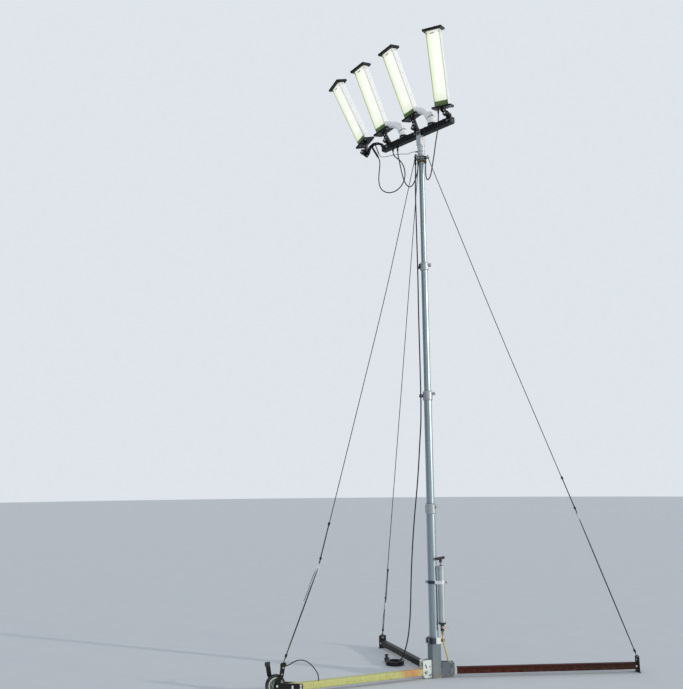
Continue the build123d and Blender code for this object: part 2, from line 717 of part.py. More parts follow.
def lamp_fork(index, seat_z):
    """Two ears that hold a neck's eye, on a pad."""
    along, pivot_z = LAMP_PIVOT[index]
    with BuildPart() as ears:
        with BuildSketch(BAR_PLANE):
            with Locations((along, pivot_z)):
                Circle(NECK_EYE_RADIUS)
            with Locations((along, (pivot_z + seat_z) / 2)):
                Rectangle(2 * NECK_EYE_RADIUS, pivot_z - seat_z)
            with Locations((along, pivot_z)):
                Circle(PIVOT_RADIUS, mode=Mode.SUBTRACT)
        extrude(amount=FORK_INSIDE + FORK_EAR, both=True)
        with BuildSketch(BAR_PLANE):
            with Locations((along, pivot_z)):
                Rectangle(4 * NECK_EYE_RADIUS, 2 * (pivot_z - seat_z - FORK_PAD))
        extrude(amount=FORK_INSIDE, both=True, mode=Mode.SUBTRACT)
    return ears.part


def lamp_knob(index):
    """Pivot pin with a nut on its far end and a star knob towards the near side."""
    outside = FORK_INSIDE + FORK_EAR
    face = Plane(origin=on_bar(*LAMP_PIVOT[index]), x_dir=BAR_DIR, z_dir=-BAR_SIDE)
    with BuildPart() as knob:
        with BuildSketch(face.offset(-outside - FORK_EAR)):
            Circle(PIVOT_RADIUS)
        extrude(amount=2 * outside + FORK_EAR + KNOB_STEM)
        with BuildSketch(face.offset(-outside)):
            RegularPolygon(PIVOT_RADIUS * 1.8, 6)
        extrude(amount=-FORK_EAR)
        with BuildSketch(face.offset(outside)):
            Circle(PIVOT_RADIUS * 2)
        extrude(amount=KNOB_STEM)
        with BuildSketch(face.offset(outside + KNOB_STEM)):
            Circle(KNOB_RADIUS)
            with PolarLocations(KNOB_RADIUS, 5):
                Circle(KNOB_RADIUS * 0.3, mode=Mode.SUBTRACT)
        extrude(amount=KNOB_HEIGHT)
    return knob.part


fixed_necks = [lamp_neck(index, FORK_INSIDE, 0).solid() for index in range(3)]
save(Compound([lamp_housing(index).solid() for index in range(3)]), "lamp_housings")
save(Compound([plate for index in range(3) for plate in lamp_flanges(index).solids()]), "lamp_flanges")
save(Compound(fixed_necks), "lamp_necks")
save(lamp_housing(3), "lamp_4_housing")
save(lamp_flanges(3), "lamp_4_flanges")
save(lamp_neck(3, NECK_WIDTH / 2, PIVOT_GAP), "lamp_4_neck")
save(Compound([lamp_knob(index).solid() for index in range(4)]), "lamp_knobs")
save(Compound([lamp_fork(index, BAR_TOP_Z).solid() for index in (1, 2, 3)]), "lamp_forks")

# The outermost lamp's fork stands on an arm that reaches past the bar's far end
arm_seat = BAR_CENTRE_Z + ARM_ROUTE[-1][1] + ARM_WIDTH / 2
with BuildPart() as arm:
    with BuildSketch(BAR_PLANE):
        with BuildLine():
            Polyline(*[(along, BAR_CENTRE_Z + rise) for along, rise in ARM_ROUTE])
        trace(line_width=ARM_WIDTH)
        with Locations((BAR_FAR_END + BAR_SIZE, BAR_CENTRE_Z)):
            Rectangle(2 * BAR_SIZE, BAR_SIZE, mode=Mode.SUBTRACT)
    extrude(amount=ARM_WIDTH / 2, both=True)
    add(lamp_fork(0, arm_seat))
save(arm.part, "lamp_1_arm")


# Elbow pipes from the lamps' sides down to sockets on the bar
def elbow(index):
    """A pipe from the lamp's side that bends down into its socket, with a wider lower end."""
    slope = radians(ELBOW_SLOPE[index])
    land, bend = ELBOW_LANDING[index], ELBOW_BEND[index]
    foot, below = (land, 0), (land, -ELBOW_FOOT)
    top = (land - bend + bend * sin(slope), bend * cos(slope))
    start = (top[0] - ELBOW_RUN * cos(slope), top[1] + ELBOW_RUN * sin(slope))
    bell = radians(BELL_ANGLE)
    bell_top = (land - bend + bend * cos(bell), bend * sin(bell))
    plane = Plane(origin=(0, 0, BAR_TOP_Z), x_dir=BAR_DIR, z_dir=BAR_DIR.cross(leant(ELBOW_LEAN)))
    with BuildPart() as pipe:
        with BuildLine(plane) as route:
            Line(start, top)
            RadiusArc(top, foot, bend)
            Line(foot, below)
        with BuildSketch(Plane(origin=route.line @ 0, z_dir=route.line % 0)):
            Circle(ELBOW_RADIUS)
        sweep()
        with BuildLine(plane) as bell_route:
            RadiusArc(bell_top, foot, bend)
            Line(foot, below)
        with BuildSketch(Plane(origin=bell_route.line @ 0, z_dir=bell_route.line % 0)):
            Circle(BELL_RADIUS)
        sweep(path=bell_route.line)
        with BuildSketch(Plane(origin=on_bar(land, BAR_TOP_Z), x_dir=BAR_DIR, z_dir=UP)):
            Rectangle(4 * BELL_RADIUS, 4 * BELL_RADIUS)
        extrude(amount=-4 * ELBOW_FOOT, mode=Mode.SUBTRACT)
        with BuildSketch(lamp_plane(index).offset(FLANGE_THICK)):
            Rectangle(LAMP_WIDTH, LAMP_DEPTH + 2 * ELBOW_RADIUS)
        extrude(amount=LAMP_LENGTH, mode=Mode.SUBTRACT)
        with BuildSketch(lamp_plane(index).offset(-BOSS_HEIGHT)):
            Rectangle(FLANGE_WIDTH, LAMP_DEPTH + 2 * ELBOW_RADIUS)
        extrude(amount=BOSS_HEIGHT + FLANGE_THICK, mode=Mode.SUBTRACT)
    return pipe.part.solids().sort_by(Axis.Z)[0]


save(Compound([elbow(index) for index in ELBOW_LANDING]), "lamp_elbows")

with BuildPart() as sockets:
    for land in ELBOW_LANDING.values():
        with BuildSketch(Plane(origin=on_bar(land, BAR_TOP_Z), x_dir=BAR_DIR, z_dir=UP)):
            Circle(SOCKET_RADIUS)
        extrude(amount=SOCKET_HEIGHT)
    for index in ELBOW_LANDING:
        add(elbow(index), mode=Mode.SUBTRACT)
save(sockets.part, "elbow_sockets")

# Guy ring round the top section, with one lug hole for each guy
hub_bottom = GUY_RING_Z - RING_HUB_DROP
with BuildPart() as ring:
    with BuildSketch(Plane.XY.offset(GUY_RING_Z)):
        Circle(RING_DISC_RADIUS)
        for name in LEG_ANGLE:
            with Locations(leg_dir(name) * GUY_HOLE_CIRCLE):
                Circle(GUY_HOLE_RADIUS + 6)
        make_hull()
        for name in LEG_ANGLE:
            with Locations(leg_dir(name) * GUY_HOLE_CIRCLE):
                Circle(GUY_HOLE_RADIUS, mode=Mode.SUBTRACT)
    extrude(amount=GUY_RING_THICK)
    with BuildSketch(Plane.XY.offset(hub_bottom)):
        Circle(TUBE_R[3] + 6)
    extrude(amount=HEAD_BASE_Z - hub_bottom)
    with BuildSketch(Plane.XY.offset(hub_bottom)):
        Circle(TUBE_R[3])
    extrude(amount=HEAD_BASE_Z - hub_bottom, mode=Mode.SUBTRACT)
save(ring.part, "guy_ring")


# Guys: from a stop above the ring to a tensioner plate, and on to the leg's end
def by_leg(name, along, z, side=0.0):
    """A point at a distance along a leg, at a height, to the side where the leg's normal is."""
    return leg_dir(name) * along + UP * z + leg_dir(name).cross(UP) * side


def guy_foot(name):
    """Where a guy meets the leg's end."""
    if name == "left":
        return by_leg(name, WHEEL_AT - HORN_LEAN, FORK_TOP, -fork_inside - FORK_WALL / 2)
    return by_leg(name, LEG_REACH[name] + END_PLATE_THICK / 2, END_PLATE_HEIGHT)


def rod(start, end, radius):
    """A straight round rod between two points."""
    with BuildPart() as bar:
        with BuildSketch(Plane(origin=start, z_dir=end - start)):
            Circle(radius)
        extrude(amount=(end - start).length)
    return bar.part


def tensioner(name):
    """A flat plate with holes that takes up the guy."""
    place = by_leg(name, *TENSIONER_PLACE[name])
    way = (guy_foot(name) - place).normalized()
    with BuildPart() as plate:
        with BuildSketch(Plane(origin=place, x_dir=way, z_dir=leg_dir(name).cross(UP))):
            SlotOverall(TENSIONER_SIZE[0], TENSIONER_SIZE[1])
            with GridLocations(20, 0, 3, 1):
                Circle(4.5, mode=Mode.SUBTRACT)
        extrude(amount=TENSIONER_SIZE[2] / 2, both=True)
    return plate.part


def guy(name):
    """The rope above and below the tensioner, with the stop that holds it on the ring."""
    ring_top = by_leg(name, GUY_HOLE_CIRCLE, GUY_RING_Z + GUY_RING_THICK)
    sag, foot = by_leg(name, *GUY_SAG[name]), guy_foot(name)
    place = by_leg(name, *TENSIONER_PLACE[name])
    up_way, down_way = (ring_top - sag).normalized(), (foot - place).normalized()
    grip = TENSIONER_SIZE[0] / 2 - 4
    anchor = fork.part if name == "left" else PLATES[name]
    with BuildPart() as rope:
        with BuildLine() as route:
            FilletPolyline(ring_top + up_way * STOP_HEIGHT, sag, place - down_way * grip, radius=SAG_RADIUS)
        with BuildSketch(Plane(origin=route.line @ 0, z_dir=route.line % 0)):
            Circle(GUY_RADIUS)
        sweep()
        add(rod(ring_top + up_way * 4.5, ring_top + up_way * (4.5 + STOP_HEIGHT), STOP_RADIUS))
        add(rod(place + down_way * grip, foot + down_way * 1.5, GUY_RADIUS))
        add(tensioner(name), mode=Mode.SUBTRACT)
        add(anchor, mode=Mode.SUBTRACT)
    print(f"{name} guy: volume {rope.part.volume:.0f}")
    return rope.part


for name in LEG_ANGLE:
    save(guy(name), f"{name}_guy")
save(Compound([tensioner(name).solid() for name in LEG_ANGLE]), "guy_tensioners")


ring_mouth_z = GUY_RING_Z - RING_GLAND_DROP
bar_mouth_z = BAR_UNDER_Z - BAR_GLAND_DROP
link_z = HEAD_BASE_Z + 34


def tapered(seat, mouth, mouth_radius):
    """A cable gland from its seat to the mouth where a cable enters."""
    with BuildPart() as gland:
        with BuildSketch(Plane(origin=seat, z_dir=mouth - seat)):
            Circle(GLAND_RADIUS)
        with BuildSketch(Plane(origin=mouth, z_dir=mouth - seat)):
            Circle(mouth_radius)
        loft()
    return gland.solid()


def ring_gland(x, y, mouth_radius):
    """A gland that hangs under the guy ring."""
    return tapered(Vector(x, y, GUY_RING_Z), Vector(x, y, ring_mouth_z), mouth_radius)


def bar_gland(along, side):
    """A gland that hangs under the crossbar."""
    seat = on_bar(along, BAR_UNDER_Z, side)
    return tapered(seat, on_bar(along, bar_mouth_z, side), CABLE_RADIUS + 1)


FRONT_GLAND = on_bar(0, ring_mouth_z, -48)
SIDE_GLAND = on_bar(48, ring_mouth_z, 2)
POWER_GLAND = Vector(-54, 5, ring_mouth_z)
link_mouth = Vector(-53, 0, link_z)
with BuildPart() as link_gland:
    with BuildSketch(Plane(origin=link_mouth, z_dir=(1, 0, 0))):
        Circle(GLAND_RADIUS - 3)
    extrude(amount=30)
    add(head.part, mode=Mode.SUBTRACT)
    add(rod(Vector(0, 0, HEAD_BASE_Z), Vector(0, 0, HEAD_BASE_Z + 60), TUBE_R[3] + 2), mode=Mode.SUBTRACT)
save(
    Compound([
        bar_gland(-340, -14),
        bar_gland(-306, 14),
        ring_gland(FRONT_GLAND.X, FRONT_GLAND.Y, CABLE_RADIUS + 1),
        ring_gland(SIDE_GLAND.X, SIDE_GLAND.Y, CABLE_RADIUS + 1),
        ring_gland(POWER_GLAND.X, POWER_GLAND.Y, POWER_RADIUS + 1),
        link_gland.solid(),
    ]),
    "cable_glands",
)

# Strain reliefs under the two outer lamps
RELIEF_MOUTH = near_bar(-560, -40)
THIN_RELIEF_MOUTH = near_bar(-545, -15)
relief_seat, thin_seat = near_bar(-640, 86), near_bar(-592, 92)
relief_way = (RELIEF_MOUTH - relief_seat).normalized()
thin_way = (THIN_RELIEF_MOUTH - thin_seat).normalized()
with BuildPart() as reliefs:
    add(rod(relief_seat, RELIEF_MOUTH, GLAND_RADIUS + 1))
    add(rod(thin_seat, THIN_RELIEF_MOUTH, CABLE_RADIUS))
    add(arm.part, mode=Mode.SUBTRACT)
save(Compound(reliefs.solids().sort_by(Axis.Z)[:2]), "lamp_1_strain_reliefs")

relief_mouth = near_bar(262, 98, -54)
with BuildPart() as lamp_4_relief:
    add(rod(relief_mouth, relief_mouth + UP * 4 * BOSS_HEIGHT, GLAND_RADIUS))
    with BuildSketch(lamp_plane(3)):
        Rectangle(FLANGE_WIDTH, FLANGE_DEPTH)
    extrude(amount=4 * BOSS_HEIGHT, mode=Mode.SUBTRACT)
save(lamp_4_relief.part, "lamp_4_strain_relief")

# Clip on the second collar that holds the power cable beside the mast
with BuildPart() as clip:
    with BuildSketch(Plane.XY.offset(COLLAR_BASE_Z[1] + COLLAR_HEIGHT[1] / 2 - CLIP_HEIGHT / 2)):
        with Locations((CLIP_CENTRE[0] + 4, CLIP_CENTRE[1])):
            RectangleRounded(34, 20, CORNER)
        with Locations(CLIP_CENTRE):
            Circle(POWER_RADIUS + 1, mode=Mode.SUBTRACT)
        Circle(TUBE_R[1] + COLLAR_WALL, mode=Mode.SUBTRACT)
    extrude(amount=CLIP_HEIGHT)
save(clip.part, "cable_clip")

# Cables of the lamps
LAMP_1_CABLE = [
    RELIEF_MOUTH,
    RELIEF_MOUTH + relief_way * 52,
    near_bar(-520, -150, -10),
    near_bar(-522, -230, -22),
    near_bar(-518, -310, -32),
    near_bar(-496, -384, -38),
    near_bar(-440, -442, -42),
    near_bar(-362, -476, -44),
    near_bar(-276, -478, -42),
    near_bar(-208, -442, -38),
    near_bar(-174, -378, -34),
    near_bar(-178, -306, -30),
    near_bar(-206, -238, -26),
    near_bar(-252, -178, -22),
    near_bar(-312, -132, -18),
    near_bar(-340, -92, -14),
    on_bar(-340, bar_mouth_z, -14),
]
LAMP_2_CABLE = [
    on_bar(-306, bar_mouth_z, 14),
    near_bar(-306, -94, 14),
    near_bar(-288, -160, 12),
    near_bar(-268, -240, 8),
    near_bar(-242, -320, 2),
    near_bar(-214, -392, -6),
    near_bar(-168, -456, -16),
    near_bar(-108, -490, -36),
    near_bar(-54, -482, -56),
    near_bar(-16, -436, -60),
    near_bar(-2, -378, -54),
    near_bar(0, -324, -48),
    FRONT_GLAND,
]
LAMP_4_CABLE = [
    relief_mouth,
    relief_mouth - UP * 36,
    near_bar(260, 20, -55),
    near_bar(252, -50, -54),
    near_bar(234, -120, -52),
    near_bar(216, -198, -54),
    near_bar(200, -274, -52),
    near_bar(178, -348, -50),
    near_bar(158, -414, -46),
    near_bar(134, -462, -38),
    near_bar(98, -478, -26),
    near_bar(66, -456, -14),
    near_bar(52, -406, -6),
    near_bar(47, -356, -1),
    near_bar(48, -318, 2),
    SIDE_GLAND,
]
LAMP_1_LINK = [
    THIN_RELIEF_MOUTH,
    THIN_RELIEF_MOUTH + thin_way * 35,
    near_bar(-496, -72, -10),
    near_bar(-440, -90, -20),
    near_bar(-384, -104, -30),
    near_bar(-326, -114, -36),
    near_bar(-268, -128, -40),
    near_bar(-212, -140, -40),
    near_bar(-160, -156, -36),
    near_bar(-118, -172, -44),
    (-80, 0, link_z),
    link_mouth,
]
cord(LAMP_1_CABLE, CABLE_RADIUS, "lamp_1_cable")
cord(LAMP_2_CABLE, CABLE_RADIUS, "lamp_2_cable")
cord(LAMP_4_CABLE, CABLE_RADIUS, "lamp_4_cable")
cord(LAMP_1_LINK, LINK_RADIUS, "lamp_1_link")

# Coil of the power cable, on the ground beside the back leg
coil_plane = Plane.XY.shift_origin((COIL_CENTRE[0], COIL_CENTRE[1], 0))
with BuildPart() as coil:
    with BuildSketch(coil_plane):
        Circle(COIL_RADIUS)
        Circle(COIL_RADIUS - COIL_BAND, mode=Mode.SUBTRACT)
    extrude(amount=COIL_HEIGHT)
    fillet(coil.edges(), COIL_HEIGHT * 0.4)
save(coil.part, "power_coil")

# Power cable down the mast to the coil, and its plug at the coil's other end
coil_side = COIL_CENTRE[1] - COIL_RADIUS
POWER_CABLE = [
    POWER_GLAND,
    (-54, 5, 4330),
    (-59, 6, 4240),
    (-61, 4, 4060),
    (-59, 5, 3700),
    (-57, 7, 3340),
    (-60, 5, 2980),
    (*CLIP_CENTRE, 2640),
    (*CLIP_CENTRE, 2120),
    (-72, 36, 1915),
    (-92, 98, 1578),
    (-124, 160, 1265),
    (-146, 218, 960),
    (-157, 262, 705),
    (-164, 296, 459),
    (-184, 322, 250),
    (-222, 334, 110),
    (-272, 344, 34),
    (COIL_CENTRE[0] - 6, coil_side + 3, COIL_HEIGHT / 2),
]
cord(POWER_CABLE, POWER_RADIUS, "power_cable")

plug_start = Vector(COIL_CENTRE[0] - COIL_RADIUS + COIL_BAND / 2, COIL_CENTRE[1] + PLUG_OFFSET, PLUG_RADIUS)
with BuildPart() as power_plug:
    with BuildSketch(Plane(origin=plug_start, z_dir=(0, 1, 0))):
        Circle(POWER_RADIUS + 3)
    extrude(amount=PLUG_TAIL)
    with BuildSketch(Plane(origin=plug_start + Vector(0, PLUG_TAIL, 0), z_dir=(0, 1, 0))):
        Circle(PLUG_RADIUS)
    extrude(amount=PLUG_LENGTH)
    add(coil.part, mode=Mode.SUBTRACT)
save(power_plug.part, "power_plug")

# Hose from the pump's valve to the right leg, and the loop of cable at the left leg's end
leg_top = LEG_UNDERSIDE + LEG_SIZE
boss_centre = by_leg("right", HOSE_BOSS_AT, leg_top)
PUMP_HOSE = [
    (PUMP_X, PUMP_Y, PUMP_BOTTOM_Z - PUMP_CAP_HEIGHT - VALVE_HEIGHT),
    (PUMP_X, PUMP_Y, 316),
    (76, -20, 262),
    (90, -13, 205),
    (104, -2, 160),
    boss_centre + UP * (HOSE_BOSS_HEIGHT + 28),
    boss_centre + UP * HOSE_BOSS_HEIGHT,
]
cord(PUMP_HOSE, HOSE_RADIUS, "pump_hose")
with BuildPart() as hose_boss:
    with BuildSketch(Plane(origin=boss_centre)):
        Circle(HOSE_RADIUS + 4)
    extrude(amount=HOSE_BOSS_HEIGHT)
save(hose_boss.part, "hose_boss")

LEG_END_CABLE = [
    by_leg("left", 1297, 210, -29),
    by_leg("left", 1262, 214, -30),
    by_leg("left", 1226, 236, -32),
    by_leg("left", 1180, 246, -34),
    by_leg("left", 1132, 236, -34),
    by_leg("left", 1088, 206, -32),
    by_leg("left", 1052, 166, -28),
    by_leg("left", 1026, 126, -20),
    by_leg("left", 1018, 98, -14),
    by_leg("left", 1018, leg_top, -14),
]
cord(LEG_END_CABLE, LEG_CABLE_RADIUS, "left_end_cable")
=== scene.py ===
import json
import logging
from dataclasses import dataclass
from enum import Enum
from math import cos, pi, radians, sin
from random import Random
from typing import Callable, Iterable, Self, Sequence

import bmesh
import bpy
from mathutils import Matrix, Vector

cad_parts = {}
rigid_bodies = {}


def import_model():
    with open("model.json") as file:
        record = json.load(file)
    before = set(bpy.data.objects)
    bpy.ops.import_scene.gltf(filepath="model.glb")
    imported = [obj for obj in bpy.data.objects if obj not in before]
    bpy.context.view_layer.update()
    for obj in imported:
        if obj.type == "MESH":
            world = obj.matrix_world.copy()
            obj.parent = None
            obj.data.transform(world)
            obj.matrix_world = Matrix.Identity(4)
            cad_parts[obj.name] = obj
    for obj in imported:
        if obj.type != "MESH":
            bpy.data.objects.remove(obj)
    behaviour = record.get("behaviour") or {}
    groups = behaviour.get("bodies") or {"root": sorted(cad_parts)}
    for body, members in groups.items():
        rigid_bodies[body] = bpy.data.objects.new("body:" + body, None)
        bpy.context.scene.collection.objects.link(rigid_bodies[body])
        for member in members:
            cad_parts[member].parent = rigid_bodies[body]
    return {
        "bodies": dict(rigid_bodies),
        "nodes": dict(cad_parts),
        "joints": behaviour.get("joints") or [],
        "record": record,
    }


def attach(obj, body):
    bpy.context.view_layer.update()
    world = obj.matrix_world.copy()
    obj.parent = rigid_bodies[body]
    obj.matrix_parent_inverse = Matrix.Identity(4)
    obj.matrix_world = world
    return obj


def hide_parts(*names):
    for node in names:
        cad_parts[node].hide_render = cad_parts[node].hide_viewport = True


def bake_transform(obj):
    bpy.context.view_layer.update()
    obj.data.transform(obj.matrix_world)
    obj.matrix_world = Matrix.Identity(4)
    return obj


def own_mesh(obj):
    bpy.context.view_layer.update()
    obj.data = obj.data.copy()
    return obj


Point = tuple[float, float, float]
Flat = tuple[float, float]
Route = tuple[Point, ...]
Socket, Tree = bpy.types.NodeSocket, bpy.types.NodeTree
Results = dict[str, Socket]

log = logging.getLogger("mast")


def heading(degrees: float) -> Vector:
    """The level direction at an angle from the X axis."""
    return Vector((cos(radians(degrees)), sin(radians(degrees)), 0))


EAST, NORTH, UP = Vector((1, 0, 0)), Vector((0, 1, 0)), Vector((0, 0, 1))
BAR_WAY = heading(-48)
BAR_FAR = UP.cross(BAR_WAY)
BAR_HEIGHT, BAR_HALF = 4.68, 0.028
PIVOTS = ((-0.72, 4.722), (-0.408, 4.738), (-0.048, 4.74), (0.334, 4.742))
FLANGE_AT = ((-0.726, 4.824), (-0.465, 4.85), (-0.092, 4.865), (0.27, 4.827))
LAMP_TILTS = (16.9, 10.3, 9.6, -6.4)
LAMP_TURNS = (-8.0, 5.0, 3.0, 23.0)
LAMP_LEAN, ELBOW_LEAN = 16, 5
POST_TURN = 22.8
POST_HALF = 0.041
WHEEL_AT, WHEEL_RADIUS = 1.36, 0.076
PUMP = Vector((0.068, -0.022, 0))
RING_TOP = 4.452
ROPE, STRANDS, GROOVE = 0.0035, 3, 0.22
CABLE = 0.005


class Leg(Enum):
    """The three legs, by the angle that each runs at from the X axis."""

    LEFT = 202.8
    BACK = 108.0
    RIGHT = 4.0

    @property
    def way(self) -> Vector:
        """Unit vector from the mast along the leg."""
        return heading(self.value)

    @property
    def reach(self) -> float:
        """How far from the mast the leg's end plate or wheel stands."""
        return {"LEFT": WHEEL_AT, "BACK": 1.19, "RIGHT": 1.69}[self.name]

    @property
    def side(self) -> Vector:
        """Unit vector across the leg."""
        return self.way.cross(UP)

    def at(self, along: float, z: float, side: float = 0.0) -> Vector:
        """A point at a distance along the leg, at a height, to one side."""
        return self.way * along + UP * z + self.side * side

    def face(self, along: float, z: float, side: float) -> Matrix:
        """A frame on one side of the leg, with Z outwards."""
        return frame_at(self.at(along, z, side), self.side if side > 0 else -self.side)


def on_bar(along: float, z: float, far: float = 0.0) -> Vector:
    """A point given along the crossbar, at a height and to its far side."""
    return BAR_WAY * along + BAR_FAR * far + UP * z


def bar_face(along: float, z: float, far: float) -> Matrix:
    """A frame on the crossbar's far side, or its near side below zero, with Z outwards."""
    return frame_at(on_bar(along, z, far), BAR_FAR if far > 0 else -BAR_FAR)


def shifted(x: float, y: float = 0.0, z: float = 0.0) -> Matrix:
    """A shift."""
    return Matrix.Translation((x, y, z))


def spun(degrees: float, axis: str = "Z") -> Matrix:
    """A turn about one of the axes."""
    return Matrix.Rotation(radians(degrees), 4, axis)


def frame_at(origin: Vector, normal: Vector, across: Vector | None = None) -> Matrix:
    """A local frame whose Z runs along a normal.

    Args:
        origin: Where the frame stands.
        normal: Direction of its Z axis.
        across: A direction that its X axis keeps near to, if it matters.

    Returns:
        The matrix from the frame to the world.
    """
    z = normal.normalized()
    y = z.cross(across or (EAST if abs(z.x) < 0.9 else NORTH)).normalized()
    turn = Matrix((y.cross(z), y, z)).transposed().to_4x4()
    return Matrix.Translation(origin) @ turn


def leant(angle: float) -> Vector:
    """The direction up, leant by some degrees towards the crossbar's near side."""
    return UP * cos(radians(angle)) - BAR_FAR * sin(radians(angle))


def lamp_frame(index: int) -> Matrix:
    """Frame at the underside of a lamp's lower flange, with Z along the lamp.

    Args:
        index: The lamp's number from the left, from 0.

    Returns:
        The matrix from the frame to the world.
    """
    tilt = radians(LAMP_TILTS[index])
    axis = BAR_WAY * -sin(tilt) + leant(LAMP_LEAN) * cos(tilt)
    across = BAR_WAY * cos(tilt) + leant(LAMP_LEAN) * sin(tilt)
    turn = Matrix.Rotation(radians(LAMP_TURNS[index]), 3, axis)
    return frame_at(on_bar(*FLANGE_AT[index]), axis, turn @ across)


def tint(code: str) -> tuple[float, ...]:
    """A linear colour from six hexadecimal digits of the usual screen colour."""
    parts = [int(code[start:start + 2], 16) / 255 for start in (0, 2, 4)]
    return (*(part / 12.92 if part < 0.04045 else ((part + 0.055) / 1.055) ** 2.4 for part in parts), 1.0)


class Graph:
    """A shader tree with short calls to add and join nodes."""

    def __init__(self, tree: Tree, groups: dict[str, Tree] | None = None) -> None:
        """Take over a tree, with the shared groups that it may use."""
        self.tree = tree
        self.groups = groups or {}

    def add(self, kind: str, inputs: dict | None = None, **settings: object) -> bpy.types.Node:
        """Add a node.

        Args:
            kind: The node's type, without its ShaderNode prefix.
            inputs: Values or sockets for the node's inputs, by name or number.
            settings: Attributes of the node.

        Returns:
            The new node.
        """
        node = self.tree.nodes.new("ShaderNode" + kind)
        for key, value in settings.items():
            setattr(node, key, value)
        for key, value in (inputs or {}).items():
            if isinstance(value, Socket):
                self.tree.links.new(value, node.inputs[key])
            else:
                node.inputs[key].default_value = value
        return node

    def use(self, effect: str, **values: object) -> Results:
        """Place a shared group with values for its inputs, and return what it puts out."""
        return dict(self.add("Group", values, node_tree=self.groups[effect]).outputs.items())

    def spot(self) -> Socket:
        """The place on the surface in the object's own frame."""
        return self.add("TexCoord").outputs["Object"]

    def axes(self) -> Iterable[Socket]:
        """The three coordinates of the place on the surface."""
        return self.add("SeparateXYZ", {0: self.spot()}).outputs

    def maths(self, operation: str, *values: object, clamp: bool = False) -> Socket:
        """A Math node's result for numbers or sockets."""
        return self.add("Math", dict(enumerate(values)), operation=operation, use_clamp=clamp).outputs[0]

    def times(self, first: object, second: object) -> Socket:
        """The product of two numbers or sockets."""
        return self.maths("MULTIPLY", first, second)

    def vector(self, operation: str, *values: object, result: str = "Vector") -> Socket:
        """A Vector Math node's result for vectors or sockets."""
        return self.add("VectorMath", dict(enumerate(values)), operation=operation).outputs[result]

    def noise(self, place: Socket, scale: object, detail: float, **more: float) -> Socket:
        """Noise at a place, with Roughness or Distortion if they matter."""
        return self.add("TexNoise", {"Vector": place, "Scale": scale, "Detail": detail, **more}).outputs[0]

    def blend(self, share: object, first: object, second: object) -> Socket:
        """Mix two colours.

        Args:
            share: Part of the second colour, as a number or socket.
            first: The first colour, as a hexadecimal code, a linear colour or a socket.
            second: The second colour.

        Returns:
            The mixed colour's socket.
        """
        colours = [tint(colour) if isinstance(colour, str) else colour for colour in (first, second)]
        return self.add("Mix", {0: share, 6: colours[0], 7: colours[1]}, data_type="RGBA").outputs[2]

    def spread(self, value: object, low: float, high: float, to_low: float = 0.0,
               to_high: float = 1.0) -> Socket:
        """Map a value from one range to another and keep it inside."""
        inputs = {"Value": value, "From Min": low, "From Max": high, "To Min": to_low, "To Max": to_high}
        return self.add("MapRange", inputs).outputs[0]


class Group(Graph):
    """A shader group in the making."""

    def __init__(self, name: str, **inputs: float) -> None:
        """Start a group.

        Args:
            name: The group's name.
            inputs: Its inputs with their defaults.
        """
        super().__init__(bpy.data.node_groups.new(name, "ShaderNodeTree"))
        for label, value in inputs.items():
            self._socket(label, "INPUT").default_value = value
        entry = self.tree.nodes.new("NodeGroupInput")
        self.give = {label: entry.outputs[label] for label in inputs}

    def _socket(self, label: str, side: str) -> bpy.types.NodeTreeInterfaceSocket:
        """Add a number to the group's interface."""
        return self.tree.interface.new_socket(label, in_out=side, socket_type="NodeSocketFloat")

    def closed(self, **results: Socket) -> Tree:
        """Put out the results.

        Args:
            results: The sockets to put out, by name.

        Returns:
            The group's tree.
        """
        for label in results:
            self._socket(label, "OUTPUT")
        leave = self.tree.nodes.new("NodeGroupOutput")
        for label, result in results.items():
            self.tree.links.new(result, leave.inputs[label])
        return self.tree


